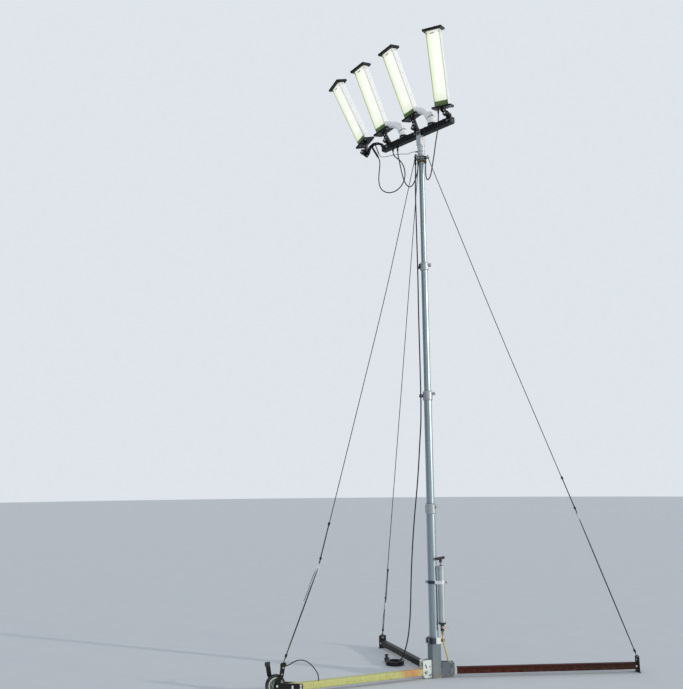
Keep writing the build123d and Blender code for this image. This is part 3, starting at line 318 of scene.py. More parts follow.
class Effects:
    """The effects that several finishes share, each built once as a shader group."""

    def __init__(self) -> None:
        """Build every group."""
        makers = (self.edge_wear, self.grain, self.drawn, self.weather, self.ground_dust)
        self.groups = {maker.__name__: maker() for maker in makers}

    @staticmethod
    def edge_wear() -> Tree:
        """Worn edges: where a rounded normal leaves the true one, broken up by noise.

        Returns:
            The group's tree.
        """
        graph = Group("edge_wear", radius=0.002, break_scale=60.0)
        soft = graph.add("Bevel", {"Radius": graph.give["radius"]}, samples=6).outputs[0]
        true = graph.add("NewGeometry").outputs["Normal"]
        edge = graph.spread(graph.vector("DOT_PRODUCT", soft, true, result="Value"), 0.995, 0.9)
        broken = graph.spread(graph.noise(graph.spot(), graph.give["break_scale"], 5.0), 0.42, 0.6)
        return graph.closed(mask=graph.times(edge, broken))

    @staticmethod
    def grain() -> Tree:
        """Fine, even grain of cast metal, moulded plastic or rubber.

        Returns:
            The group's tree.
        """
        graph = Group("grain", scale=300.0, cells=900.0)
        place = graph.spot()
        noise = graph.noise(place, graph.give["scale"], 6.0, Roughness=0.65)
        cells = graph.add("TexVoronoi", {"Vector": place, "Scale": graph.give["cells"]}).outputs["Distance"]
        return graph.closed(value=noise, height=graph.maths("ADD", noise, graph.times(cells, 0.4)))

    @staticmethod
    def drawn() -> Tree:
        """Long fine lines of a drawn tube, with a few deeper scores round it.

        Returns:
            The group's tree.
        """
        graph = Group("drawn", across=420.0, along=3.0, rings=90.0)
        (x, y, z), give = graph.axes(), graph.give
        stretched = {0: graph.times(x, give["across"]), 1: graph.times(y, give["across"]),
                     2: graph.times(z, give["along"])}
        lines = graph.noise(graph.add("CombineXYZ", stretched).outputs[0], 1.0, 4.0)
        flattened = {0: x, 1: y, 2: graph.times(z, give["rings"])}
        rings = graph.noise(graph.add("CombineXYZ", flattened).outputs[0], 6.0, 3.0)
        return graph.closed(lines=lines, scores=graph.spread(rings, 0.66, 0.74))

    @staticmethod
    def weather() -> Tree:
        """Large soft patches and small chips of weathered paint or zinc.

        Returns:
            The group's tree.
        """
        graph = Group("weather", scale=9.0, chip_scale=70.0)
        place = graph.spot()
        patches = graph.noise(place, graph.give["scale"], 7.0, Distortion=0.6)
        chips = graph.noise(place, graph.give["chip_scale"], 8.0, Roughness=0.7)
        return graph.closed(patches=graph.spread(patches, 0.36, 0.66), chips=graph.spread(chips, 0.62, 0.68))

    @staticmethod
    def ground_dust() -> Tree:
        """Dust and splashes that thin out with the height over the ground.

        Returns:
            The group's tree.
        """
        graph = Group("ground_dust", reach=0.2, spots=45.0)
        place = graph.spot()
        height = graph.add("SeparateXYZ", {0: place}).outputs[2]
        share = graph.maths("SUBTRACT", 1.0, graph.maths("DIVIDE", height, graph.give["reach"]), clamp=True)
        patch = graph.spread(graph.noise(place, graph.give["spots"], 6.0), 0.35, 0.7)
        return graph.closed(mask=graph.times(share, patch))


@dataclass(frozen=True)
class Finish:
    """A finish: its colours, its gloss and how it wears. Colours are hexadecimal screen colours."""

    name: str
    colour: str
    tone: str
    roughness: float = 0.5
    spread: float = 0.1
    metallic: float = 0.0
    grain: float = 320.0
    bump: float = 0.12
    patch_scale: float = 9.0
    patch_share: float = 0.5
    wear: str = ""
    wear_radius: float = 0.0025
    wear_share: float = 0.8
    chips: str = ""
    chip_scale: float = 70.0
    chip_share: float = 0.7
    dust: str = "8a7a5c"
    dust_reach: float = 0.0
    dust_share: float = 0.6
    coat: float = 0.0
    specular: float = 0.5
    glow: float = 0.0
    slot: str = "steel"

    def patched(self, graph: Graph, weather: Results, colour: object) -> Socket:
        """A colour with the finish's second tone in soft patches."""
        return graph.blend(graph.times(weather["patches"], self.patch_share), colour, self.tone)

    def base(self, graph: Graph, weather: Results) -> Socket:
        """The colour before wear and dust."""
        return self.patched(graph, weather, self.colour)

    def height(self, graph: Graph, grain: Results) -> Socket:
        """The height that the bump follows."""
        return grain["height"]

    def build(self, groups: dict[str, Tree]) -> bpy.types.Material:
        """Make the material.

        Args:
            groups: The shared shader groups.

        Returns:
            The new material.
        """
        material = bpy.data.materials.new(self.name)
        material.use_nodes = True
        material.node_tree.nodes.clear()
        graph = Graph(material.node_tree, groups)
        weather = graph.use("weather", scale=self.patch_scale, chip_scale=self.chip_scale)
        grain = graph.use("grain", scale=self.grain, cells=self.grain * 3)
        colour = self.base(graph, weather)
        gloss = (self.roughness - self.spread, self.roughness + self.spread)
        rough = graph.spread(grain["value"], 0.3, 0.7, *gloss)
        if self.chips:
            colour = graph.blend(graph.times(weather["chips"], self.chip_share), colour, self.chips)
        if self.wear:
            worn = graph.use("edge_wear", radius=self.wear_radius, break_scale=self.chip_scale)
            colour = graph.blend(graph.times(worn["mask"], self.wear_share), colour, self.wear)
        if self.dust_reach:
            dusty = graph.use("ground_dust", reach=self.dust_reach)
            mask = graph.times(dusty["mask"], self.dust_share)
            colour = graph.blend(mask, colour, self.dust)
            rough = graph.maths("ADD", rough, graph.times(mask, 0.3), clamp=True)
        height = self.height(graph, grain)
        bump = graph.add("Bump", {"Height": height, "Strength": self.bump, "Distance": 0.001})
        shader = graph.add("BsdfPrincipled", {
            "Base Color": colour, "Roughness": rough, "Metallic": self.metallic, "Normal": bump.outputs[0],
            "Coat Weight": self.coat, "Coat Roughness": 0.2, "Specular IOR Level": self.specular,
        })
        if self.glow:
            graph.tree.links.new(colour, shader.inputs["Emission Color"])
            shader.inputs["Emission Strength"].default_value = self.glow
        graph.add("OutputMaterial", {0: shader.outputs[0]})
        return material


@dataclass(frozen=True)
class DrawnTube(Finish):
    """Bright drawn aluminium with lines along the tube and scores where the collars ran."""

    smudge: str = "9da4a9"
    score: str = "f2f4f6"

    def base(self, graph: Graph, weather: Results) -> Socket:
        """Lines, patches and scores over the metal's colour.

        Args:
            graph: The material's tree.
            weather: What the weather group puts out.

        Returns:
            The colour's socket.
        """
        drawn = graph.use("drawn")
        colour = graph.blend(graph.spread(drawn["lines"], 0.35, 0.65), self.colour, self.tone)
        patch = graph.times(weather["patches"], self.patch_share)
        return graph.blend(graph.times(drawn["scores"], 0.5), graph.blend(patch, colour, self.smudge),
                           self.score)

    def height(self, graph: Graph, grain: Results) -> Socket:
        """The drawn lines with a little of the grain."""
        return graph.maths("ADD", graph.use("drawn")["lines"], graph.times(grain["height"], 0.2))


@dataclass(frozen=True)
class LegPaintAndShade(Finish):
    """Weathered leg paint that fades from the root to the far end, with painted shade on the faces that point
    downwards.
    """

    far_colour: str = "b9bf57"
    fade_from: float = 0.1
    fade_to: float = 1.0
    # under: colour of the painted shade on faces that point down
    under: str = "1a1412"

    def base(self, graph: Graph, weather: Results) -> Socket:
        """Fade along the leg, patches and painted shade on the underside.

        Args:
            graph: The material's tree.
            weather: What the weather group puts out.

        Returns:
            The colour's socket.
        """
        x, y, _ = graph.axes()
        square = [graph.maths("POWER", graph.maths("ABSOLUTE", part), 2.0) for part in (x, y)]
        ripple = graph.times(graph.maths("SUBTRACT", weather["patches"], 0.5), 0.3)
        reach = graph.maths("ADD", graph.maths("SQRT", graph.maths("ADD", *square)), ripple)
        colour = graph.blend(graph.spread(reach, self.fade_from, self.fade_to), self.colour, self.far_colour)
        # Painted shade: faces that point downwards take the dark under colour.
        normal = graph.add("SeparateXYZ", {0: graph.add("TexCoord").outputs["Normal"]}).outputs[2]
        return graph.blend(graph.spread(normal, -0.3, -0.9), self.patched(graph, weather, colour), self.under)


@dataclass(frozen=True)
class SplitPaint(Finish):
    """A finish in two colours, the second past a plane across one of the axes; on the clamps the second is
    painted shade.
    """

    beyond: str = "0c0d0f"
    axis: int = 2
    start: float = 0.0
    end: float = 0.001

    def base(self, graph: Graph, weather: Results) -> Socket:
        """The first paint's two tones, and the second colour past the plane."""
        share = graph.spread(graph.axes()[self.axis], self.start, self.end)
        return graph.blend(share, super().base(graph, weather), self.beyond)


@dataclass(frozen=True)
class WheelDisc(Finish):
    """Wheel paint: a pale face and, outside its rim, a dark tread."""

    rim: str = "131413"
    rim_radius: float = 0.0615

    def base(self, graph: Graph, weather: Results) -> Socket:
        """The face's colour inside the rim's radius and the tread's outside it.

        Args:
            graph: The material's tree.
            weather: What the weather group puts out.

        Returns:
            The colour's socket.
        """
        offset = graph.vector("SUBTRACT", graph.spot(), Leg.LEFT.at(WHEEL_AT, WHEEL_RADIUS))
        flat = graph.vector("SUBTRACT", offset, graph.vector("PROJECT", offset, Leg.LEFT.side))
        radius = graph.vector("LENGTH", flat, result="Value")
        share = graph.spread(radius, self.rim_radius - 0.001, self.rim_radius)
        return graph.blend(share, super().base(graph, weather), self.rim)


@dataclass(frozen=True)
class LampPanel(Finish):
    """Milky lamp panel that light comes through: cream, greener along its left edge and its foot."""

    edge: str = "ccdb84"
    half_width: float = 0.058
    foot: str = "b4c787"

    def base(self, graph: Graph, weather: Results) -> Socket:
        """Cream that turns green towards the left edge and, in a narrow band, along both edges.

        Args:
            graph: The material's tree.
            weather: What the weather group puts out.

        Returns:
            The colour's socket.
        """
        x, _, z = graph.axes()
        half = self.half_width
        left = graph.times(graph.spread(x, -half * 0.25, -half), 0.55)
        both = graph.times(graph.spread(graph.maths("ABSOLUTE", x), half * 0.86, half), 0.45)
        colour = graph.blend(graph.maths("ADD", left, both), self.colour, self.edge)
        colour = graph.blend(graph.times(graph.spread(z, 0.15, 0.06), 0.35), colour, self.foot)
        return self.patched(graph, weather, colour)


@dataclass(frozen=True)
class RopeFibre(Finish):
    """Rope: fibres in two colours, frayed to a paler one."""

    fray: str = "7a6c55"

    def base(self, graph: Graph, weather: Results) -> Socket:
        """Fibre streaks with frayed spots.

        Args:
            graph: The material's tree.
            weather: What the weather group puts out.

        Returns:
            The colour's socket.
        """
        fibres = graph.spread(graph.noise(graph.spot(), 900.0, 2.0), 0.35, 0.65)
        colour = graph.blend(fibres, self.colour, self.tone)
        return graph.blend(graph.times(weather["chips"], 0.5), colour, self.fray)


FINISHES = [
    DrawnTube("mast_tube_metal", "aebbc0", "98a6ab", 0.42, 0.04, metallic=0.9, bump=0.04, patch_scale=1.5,
              patch_share=0.12, wear="e4e8ea", wear_share=0.6, dust_reach=0.5, dust_share=0.2),
    Finish("collar_cast_metal", "b4b9bc", "989ea2", 0.46, metallic=0.65, grain=500.0, bump=0.25,
           wear="eceeef", wear_share=0.9, chips="83898c", slot="collar_metal"),
    Finish("clamp_black_metal", "1d2023", "2b2f33", 0.42, metallic=0.3, wear="8f9599", chips="5a5f62",
           slot="black_paint"),
    Finish("clamp_bright_metal", "c9cccd", "a9aeb0", 0.4, metallic=0.6, wear="f2f3f3", chips="7b8082"),
    # Clamps: the dark navy past x = 0.012 is painted shade on the side turned from the sun.
    SplitPaint("clamp_paint_and_left_shade", "e4e6e6", "c8cccd", 0.42, metallic=0.2, wear="f4f5f5", chips="7b8082",
               chip_share=0.4, beyond="2a3341", axis=0, start=0.016, end=0.012),
    SplitPaint("head_two_paints", "c6cacc", "a9aeb1", 0.46, metallic=0.3, wear="dddfe0", chips="8b9094",
               chip_share=0.4, start=4.6535, end=4.6545),
    # Post: its broad pale worn edges also stand for the sunlit right edge's painted highlight.
    Finish("post_paint", "788388", "656f76", 0.42, metallic=0.6, bump=0.2, wear="dfe4e6", wear_radius=0.004,
           chips="8f8a80", chip_scale=40.0, dust_reach=0.14, dust_share=0.75),
    SplitPaint("bracket_zinc", "d8e0da", "bac6bf", 0.42, 0.14, metallic=0.2, bump=0.25, wear="f2f5f3",
               chips="7a6a52", chip_scale=55.0, chip_share=0.4, dust_reach=0.08, dust_share=0.5,
               beyond="687277", axis=0, start=0.0, end=0.03, slot="bracket_zinc"),
    # Left leg: the leg paint as lit by the sun; its pale worn edges also stand for the sunlit top edge's
    # painted highlight, and under is painted shade.
    LegPaintAndShade("left_leg_sunlit_paint", "c98c54", "cbbd86", 0.5, 0.12, bump=0.3, patch_scale=14.0, patch_share=0.35,
             wear="ece7cc", wear_radius=0.003, chips="6b4f34", chip_scale=45.0, chip_share=0.5,
             dust_reach=0.1, far_colour="bfc674", fade_from=0.08, fade_to=0.4, under="231413"),
    # Right leg: the leg paint in painted shade, darker still towards its far end, with painted shade
    # underneath.
    LegPaintAndShade("right_leg_shaded_paint", "430f09", "300c08", 0.6, bump=0.3, patch_scale=12.0, wear="602c22",
             chips="4a231b", chip_scale=45.0, chip_share=0.4, dust_reach=0.08, dust_share=0.3,
             specular=0.15, far_colour="30100b", fade_from=0.4, fade_to=1.4, under="100706"),
    # Back leg: the leg paint in painted shade, near black; its pale worn edges also stand for the lit top
    # edge's painted highlight.
    LegPaintAndShade("back_leg_shaded_paint", "0e0f10", "17181a", 0.5, bump=0.3, wear="9b9c94", wear_radius=0.004,
             chips="3d382f", chip_scale=45.0, chip_share=0.4, dust_reach=0.08, dust_share=0.3,
             specular=0.25, far_colour="141517", under="0b0b0c"),
    Finish("black_paint", "08090a", "101113", 0.46, 0.08, bump=0.15, wear="54575a", wear_share=0.4,
           chips="34312d", chip_share=0.3, specular=0.25),
    Finish("bolt_steel", "a9adb0", "8b9093", 0.3, metallic=0.95, grain=700.0, wear="dfe2e4", chips="6a4e36",
           chip_scale=120.0, chip_share=0.5),
    Finish("pump_metal", "c0c6c8", "a4abae", 0.4, 0.08, metallic=0.7, grain=420.0, bump=0.08, wear="eff1f1",
           chips="8b9192", dust_reach=0.6, dust_share=0.2),
    Finish("black_plastic", "101011", "191a1b", 0.48, grain=650.0, bump=0.2, wear="47484a", wear_share=0.7,
           chips="2d2e2f", slot="black_plastic"),
    Finish("lever_plastic", "d6c4bc", "c6aca3", 0.42, grain=600.0, wear="f2e4e1", chips="a58a82"),
    Finish("lamp_shell_white", "f1f2f0", "e6e8e4", 0.36, 0.05, grain=240.0, bump=0.03, patch_scale=3.0,
           patch_share=0.4, coat=0.15, slot="clear_end"),
    LampPanel("lamp_panel_milky", "fdfbef", "f8f6dc", 0.34, 0.05, grain=200.0, bump=0.03, patch_scale=4.0,
              patch_share=0.3, glow=0.48, slot="clear_end"),
    Finish("lamp_foot_green", "76904f", "4a5f35", 0.2, 0.08, grain=150.0, bump=0.1, patch_scale=20.0,
           patch_share=0.9, chips="2c3a25", chip_scale=35.0, coat=0.6, slot="clear_end"),
    Finish("seam_rubber", "241f1c", "33291f", 0.6, grain=500.0, bump=0.2, chips="6a5a44",
           slot="black_plastic"),
    Finish("pipe_white", "fafaf7", "f1f1ec", 0.34, 0.06, grain=180.0, bump=0.04, patch_scale=6.0,
           patch_share=0.35, coat=0.1, slot="white_pipe"),
    Finish("cable_rubber", "121314", "1d1e1f", 0.52, grain=800.0, bump=0.15, patch_scale=12.0,
           chips="3c3a35", chip_share=0.4, slot="cable_rubber"),
    Finish("hose_rubber", "cfb662", "b69c4a", 0.42, grain=700.0, bump=0.2, patch_scale=20.0, chips="5e4a22",
           chip_share=0.5, slot="hose_rubber"),
    WheelDisc("wheel_rubber", "626d64", "454e48", 0.55, 0.12, grain=420.0, bump=0.3, patch_scale=18.0,
              wear="8f9990", chips="3a3d38", dust_reach=0.16, dust_share=0.55),
    RopeFibre("guy_rope", "24211e", "3a332b", 0.85, 0.08, grain=1100.0, bump=0.5, specular=0.2,
              slot="rope"),
    RopeFibre("olive_rope", "5c5233", "76683f", 0.88, 0.08, grain=1100.0, bump=0.5, specular=0.2,
              fray="9c8c62", slot="rope"),
    Finish("brass", "b39252", "8d7140", 0.34, metallic=0.9, grain=600.0, wear="dcc48c", chips="5f5134"),
    Finish("rivet_pale", "d5d8d6", "bcc0be", 0.38, metallic=0.3, grain=600.0, wear="f3f4f3",
           chips="83827a"),
    Finish("tie_nylon", "1a1b1c", "26272a", 0.4, 0.08, grain=500.0, bump=0.1, wear="55575a",
           slot="black_plastic"),
    Finish("inspection_label", "b9b8ad", "8f8d80", 0.5, grain=260.0, bump=0.1, chips="57554c"),
]


class Workshop:
    """Everything that the sub-assemblies share: the loaded frame and the materials."""

    def __init__(self) -> None:
        """Load the frame and build the finishes."""
        self.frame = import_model()
        groups = Effects().groups
        self.materials = {finish.name: finish.build(groups) for finish in FINISHES}
        self.slots = {finish.name: finish.slot for finish in FINISHES}
        self.pieces = 0

    def dress(self, finish: str, *nodes: str) -> None:
        """Give CAD nodes a finish.

        Args:
            finish: The finish's name.
            nodes: The nodes' names.
        """
        for name in nodes:
            for slot in self.frame["nodes"][name].material_slots:
                slot.material = self.materials[finish]

    def register(self, piece: bpy.types.Object, slot: str, *replaced: str) -> None:
        """Hide the nodes that a piece replaces, count it and report it.

        Args:
            piece: The piece.
            slot: The material slot that it stands for; not used.
            replaced: CAD nodes that it stands for.
        """
        if replaced:
            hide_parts(*replaced)
        self.pieces += 1
        log.info("piece %s", piece.name)


class Solid:
    """A mesh in the making, built up from turned, extruded and swept parts."""

    def __init__(self, local: Matrix | None = None, smooth: float = 40.0, bevel: float = 0.0) -> None:
        """Start an empty mesh.

        Args:
            local: The object's own frame, if it isn't the world's.
            smooth: Angle in degrees up to which faces shade smoothly.
            bevel: Width of the bevel on its sharp edges, or 0 for none.
        """
        self.mesh = bmesh.new()
        self.local = local or Matrix()
        self.smooth = smooth
        self.bevel = bevel

    def ring(self, points: Iterable[Vector]) -> list[bmesh.types.BMVert]:
        """Add vertices and return them."""
        return [self.mesh.verts.new(point) for point in points]

    def skin(self, rings: Sequence[list], hollow: bool = False) -> Self:
        """Join rings of vertices with quads.

        Args:
            rings: The rings, each with as many vertices.
            hollow: Whether the last ring leads back to the first, instead of both ends being closed.

        Returns:
            This solid.
        """
        for low, high in zip(rings, rings[1:] + rings[:1] if hollow else rings[1:]):
            for step in range(len(low)):
                other = (step + 1) % len(low)
                self.mesh.faces.new((low[step], low[other], high[other], high[step]))
        if not hollow:
            self.mesh.faces.new(rings[0][::-1])
            self.mesh.faces.new(rings[-1])
        return self

    def lofted(self, frame: Matrix, levels: Iterable[tuple[Iterable[Flat], float]],
               hollow: bool = False) -> Self:
        """Join outlines drawn in the frame's XY plane, each at its own height."""
        return self.skin([self.ring(frame @ Vector((x, y, height)) for x, y in outline)
                          for outline, height in levels], hollow)

    def turned(self, frame: Matrix, profile: Sequence[Flat], sides: int = 32,
               hollow: bool = False) -> Self:
        """Add a turned part.

        Args:
            frame: Its frame, with Z as the axis.
            profile: Radius and height of each ring, from one end to the other.
            sides: Number of sides.
            hollow: Whether it has a hole, with the last ring next to the first.

        Returns:
            This solid.
        """
        circle = [(cos(2 * pi * step / sides), sin(2 * pi * step / sides)) for step in range(sides)]
        return self.lofted(frame, [([(radius * x, radius * y) for x, y in circle], height)
                                   for radius, height in profile], hollow)

    def washer(self, frame: Matrix, inner: float, outer: float, low: float, high: float,
               sides: int = 32, soft: float = 0.0) -> Self:
        """Add a ring with a hole.

        Args:
            frame: Its frame, with Z as the axis.
            inner: Radius of the hole.
            outer: Outside radius.
            low: Height of its lower face.
            high: Height of its upper face.
            sides: Number of sides.
            soft: Size of the chamfer on the outside.

        Returns:
            This solid.
        """
        profile = [(inner, low), (outer - soft, low), (outer, low + soft), (outer, high - soft),
                   (outer - soft, high), (inner, high)]
        return self.turned(frame, profile, sides, hollow=True)

    def prism(self, frame: Matrix, outline: Sequence[Flat], low: float, high: float) -> Self:
        """Add an outline drawn in the frame's XY plane and raised along its Z."""
        return self.lofted(frame, ((outline, low), (outline, high)))

    def block(self, frame: Matrix, size: Point, centre: Point = (0, 0, 0), corner: float = 0.0001) -> Self:
        """Add a block.

        Args:
            frame: Its frame.
            size: Its size along the frame's axes.
            centre: Its centre in the frame.
            corner: Size of the cut on its four upright corners.

        Returns:
            This solid.
        """
        x, y, z = (length / 2 for length in size)
        return self.prism(frame @ shifted(*centre), cut_corners(x, y, corner), -z, z)

    def hexagon(self, frame: Matrix, radius: float, low: float, high: float) -> Self:
        """Add a hexagon head or nut with chamfered corners.

        Args:
            frame: Its frame, with Z as the axis.
            radius: Radius to its corners.
            low: Height of its lower face.
            high: Height of its upper face.

        Returns:
            This solid.
        """
        step = min(0.001, (high - low) * 0.3)
        profile = [(0.9, low), (1.0, low + step), (1.0, high - step), (0.88, high)]
        return self.turned(frame, [(radius * scale, height) for scale, height in profile], 6)

    def bolt(self, frame: Matrix, radius: float) -> Self:
        """Add a washer and a hexagon head on a surface, with the frame's Z outwards."""
        self.turned(frame, [(radius * 2.1, -0.0005), (radius * 2.2, 0.0004), (radius * 2.1, 0.0014)], 20)
        return self.hexagon(frame, radius * 1.75, 0.0012, 0.0012 + radius * 1.3)

    def screw(self, frame: Matrix, radius: float, height: float) -> Self:
        """Add a round cap screw with a hollow in its head.

        Args:
            frame: Its frame on the surface, with Z outwards.
            radius: Radius of its head.
            height: Height of its head.

        Returns:
            This solid.
        """
        shares = ((1, 0.15), (1, 0.85), (0.88, 1), (0.5, 1), (0.5, 0.45), (0.1, 0.4))
        profile = [(radius * 0.9, -0.0005)] + [(radius * wide, height * tall) for wide, tall in shares]
        return self.turned(frame, profile, 18)

    def swept(self, points: Sequence[Vector], radius: Callable[[float], float] | float, sides: int = 10,
              pitch: float = 0.0) -> Self:
        """Add a tube along points.

        Args:
            points: The points that it follows.
            radius: Its radius, or the radius for the share of the way along.
            sides: Number of sides.
            pitch: Length of a whole turn of a rope's strands, or 0 for a plain tube.

        Returns:
            This solid.
        """
        run = [0.0]
        for before, here in zip(points, points[1:]):
            run.append(run[-1] + (here - before).length)
        way = (points[1] - points[0]).normalized()
        across = way.orthogonal().normalized()
        rings = []
        for number, point in enumerate(points):
            ahead = points[min(number + 1, len(points) - 1)] - points[max(number - 1, 0)]
            turn = way.rotation_difference(ahead.normalized())
            across, way = (turn @ across).normalized(), ahead.normalized()
            up = way.cross(across)
            size = radius(run[number] / run[-1]) if callable(radius) else radius
            spin = 2 * pi * run[number] / pitch if pitch else 0.0
            ring = []
            for step in range(sides):
                angle = 2 * pi * step / sides
                reach = size * (1 - GROOVE + GROOVE * abs(cos(STRANDS * angle / 2))) if pitch else size
                turned = angle + spin
                ring.append(point + across * (reach * cos(turned)) + up * (reach * sin(turned)))
            rings.append(self.ring(ring))
        return self.skin(rings)

    def laid(self, line: Sequence[Vector], radius: float = ROPE, step: float = 0.0034,
             pitch: float = 0.034) -> Self:
        """Add laid rope along a line."""
        return self.swept(evened(line, step), radius, 12, pitch)

    def knot(self, frame: Matrix, turns: float) -> Self:
        """Add a barrel knot: the rope's own turns round itself.

        Args:
            frame: Its frame, with Z along the rope.
            turns: Number of turns.

        Returns:
            This solid.
        """
        count, reach, rise = int(turns * 14), 0.0062, ROPE * 1.9
        points = []
        for step in range(count + 1):
            part = turns * step / count
            angle = 2 * pi * part
            points.append(frame @ Vector((reach * cos(angle), reach * sin(angle), rise * part)))
        return self.swept(points, ROPE * 0.98)

    def to_object(self, name: str, material: bpy.types.Material) -> bpy.types.Object:
        """Finish the mesh.

        Args:
            name: The object's name.
            material: Its material.

        Returns:
            The object, linked to the scene.
        """
        bmesh.ops.recalc_face_normals(self.mesh, faces=self.mesh.faces)
        data = bpy.data.meshes.new(name)
        self.mesh.to_mesh(data)
        self.mesh.free()
        data.materials.append(material)
        data.polygons.foreach_set("use_smooth", [True] * len(data.polygons))
        data.set_sharp_from_angle(angle=radians(self.smooth))
        piece = linked(name, data)
        piece.matrix_world = self.local
        if self.bevel:
            soften = piece.modifiers.new("soft_edges", "BEVEL")
            soften.width, soften.segments, soften.limit_method = self.bevel, 2, "ANGLE"
        return piece


def linked(name: str, data: bpy.types.ID) -> bpy.types.Object:
    """Put a new object into the scene.

    Args:
        name: The object's name.
        data: Its mesh, curve, light or camera.

    Returns:
        The object.
    """
    thing = bpy.data.objects.new(name, data)
    bpy.context.scene.collection.objects.link(thing)
    return thing


def cut_corners(x: float, y: float, cut: float) -> list[Flat]:
    """Outline of a rectangle with half sizes x and y and its corners cut off."""
    return [(x - cut, -y), (x, cut - y), (x, y - cut), (x - cut, y),
            (cut - x, y), (-x, y - cut), (-x, cut - y), (cut - x, -y)]


def squared(value: float, power: float) -> float:
    """A power of a cosine or sine that keeps its sign, for ovals with square shoulders."""
    return abs(value) ** power * (1 if value >= 0 else -1)


def spline_object(name: str, points: Sequence[Vector], radius: float) -> bpy.types.Object:
    """A smooth curve with a route's points as its control points.

    Args:
        name: The curve's name.
        points: The route's points.
        radius: Radius of its bevel, or 0 for a bare line.

    Returns:
        The curve object, linked to the scene.
    """
    curve = bpy.data.curves.new(name, "CURVE")
    curve.dimensions = "3D"
    curve.resolution_u = 8
    curve.bevel_depth = radius
    curve.bevel_resolution = 4
    curve.use_fill_caps = radius > 0
    spline = curve.splines.new("NURBS")
    spline.points.add(len(points) - 1)
    for control, point in zip(spline.points, points):
        control.co = (*point, 1.0)
    spline.order_u = 3
    spline.use_endpoint_u = True
    return linked(name, curve)


def read_line(points: Sequence[Vector]) -> list[Vector]:
    """Follow the smooth curve of a route.

    Args:
        points: The route's points.

    Returns:
        Points along the curve.
    """
    bare = spline_object("bare_line", points, 0.0)
    bpy.context.view_layer.update()
    data = bpy.data.meshes.new_from_object(bare)
    line = [vertex.co.copy() for vertex in data.vertices]
    bpy.data.objects.remove(bare)
    bpy.data.meshes.remove(data)
    return line


def evened(line: Sequence[Vector], step: float) -> list[Vector]:
    """Space a line's points evenly.

    Args:
        line: The line's points.
        step: Distance from point to point.

    Returns:
        The line's new points.
    """
    result, left = [line[0].copy()], step
    for before, here in zip(line, line[1:]):
        length = (here - before).length
        while length > 0 and left <= length:
            result.append(before.lerp(here, left / length))
            left += step
        left -= length
    if (result[-1] - line[-1]).length <= step * 0.4:
        result.pop()
    return [*result, line[-1].copy()]


def length_of(line: Sequence[Vector]) -> float:
    """Length of a line of points."""
    return sum((here - before).length for before, here in zip(line, line[1:]))


@dataclass
class Assembly:
    """A sub-assembly of the mast. Its pieces ride on its body, unless a call names another."""

    shop: Workshop
    body = "base"

    def place(self, solid: Solid, name: str, finish: str = "bolt_steel", *replaced: str, body: str = "",
              slot: str = "", rigid: bool = True) -> bpy.types.Object:
        """Turn a solid in the making into a piece.

        Args:
            solid: The mesh in the making.
            name: The piece's name.
            finish: Name of its finish.
            replaced: CAD nodes that it stands for.
            body: The body that it rides on, if it isn't the sub-assembly's own.
            slot: The material slot that it stands for, if it isn't the finish's own.
            rigid: Whether it rides as a rigid piece.

        Returns:
            The new object.
        """
        piece = solid.to_object(name, self.shop.materials[finish])
        if rigid:
            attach(piece, body or self.body)
        self.shop.register(piece, slot or self.shop.slots[finish], *replaced)
        return piece


@dataclass
class Cord(Assembly):
    """One free cable or hose with its route's points in metres."""

    name: str
    node: str
    route: list[Vector]
    radius: float
    body: str = "base"
    lay: str = "hanging"
    slot: str = "cable_rubber"

    def build(self) -> None:
        """Lay the cable as a smooth curve that stands for its CAD tube."""
        piece = spline_object(self.name, self.route, self.radius)
        piece.data.materials.append(self.shop.materials[self.slot])
        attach(piece, self.body)
        self.shop.register(piece, self.slot, self.node)
        length_of(read_line(self.route))


def route_on_bar(points: Route) -> list[Vector]:
    """A route whose points are given along the bar, at a height and to its far side."""
    return [on_bar(*point) for point in points]


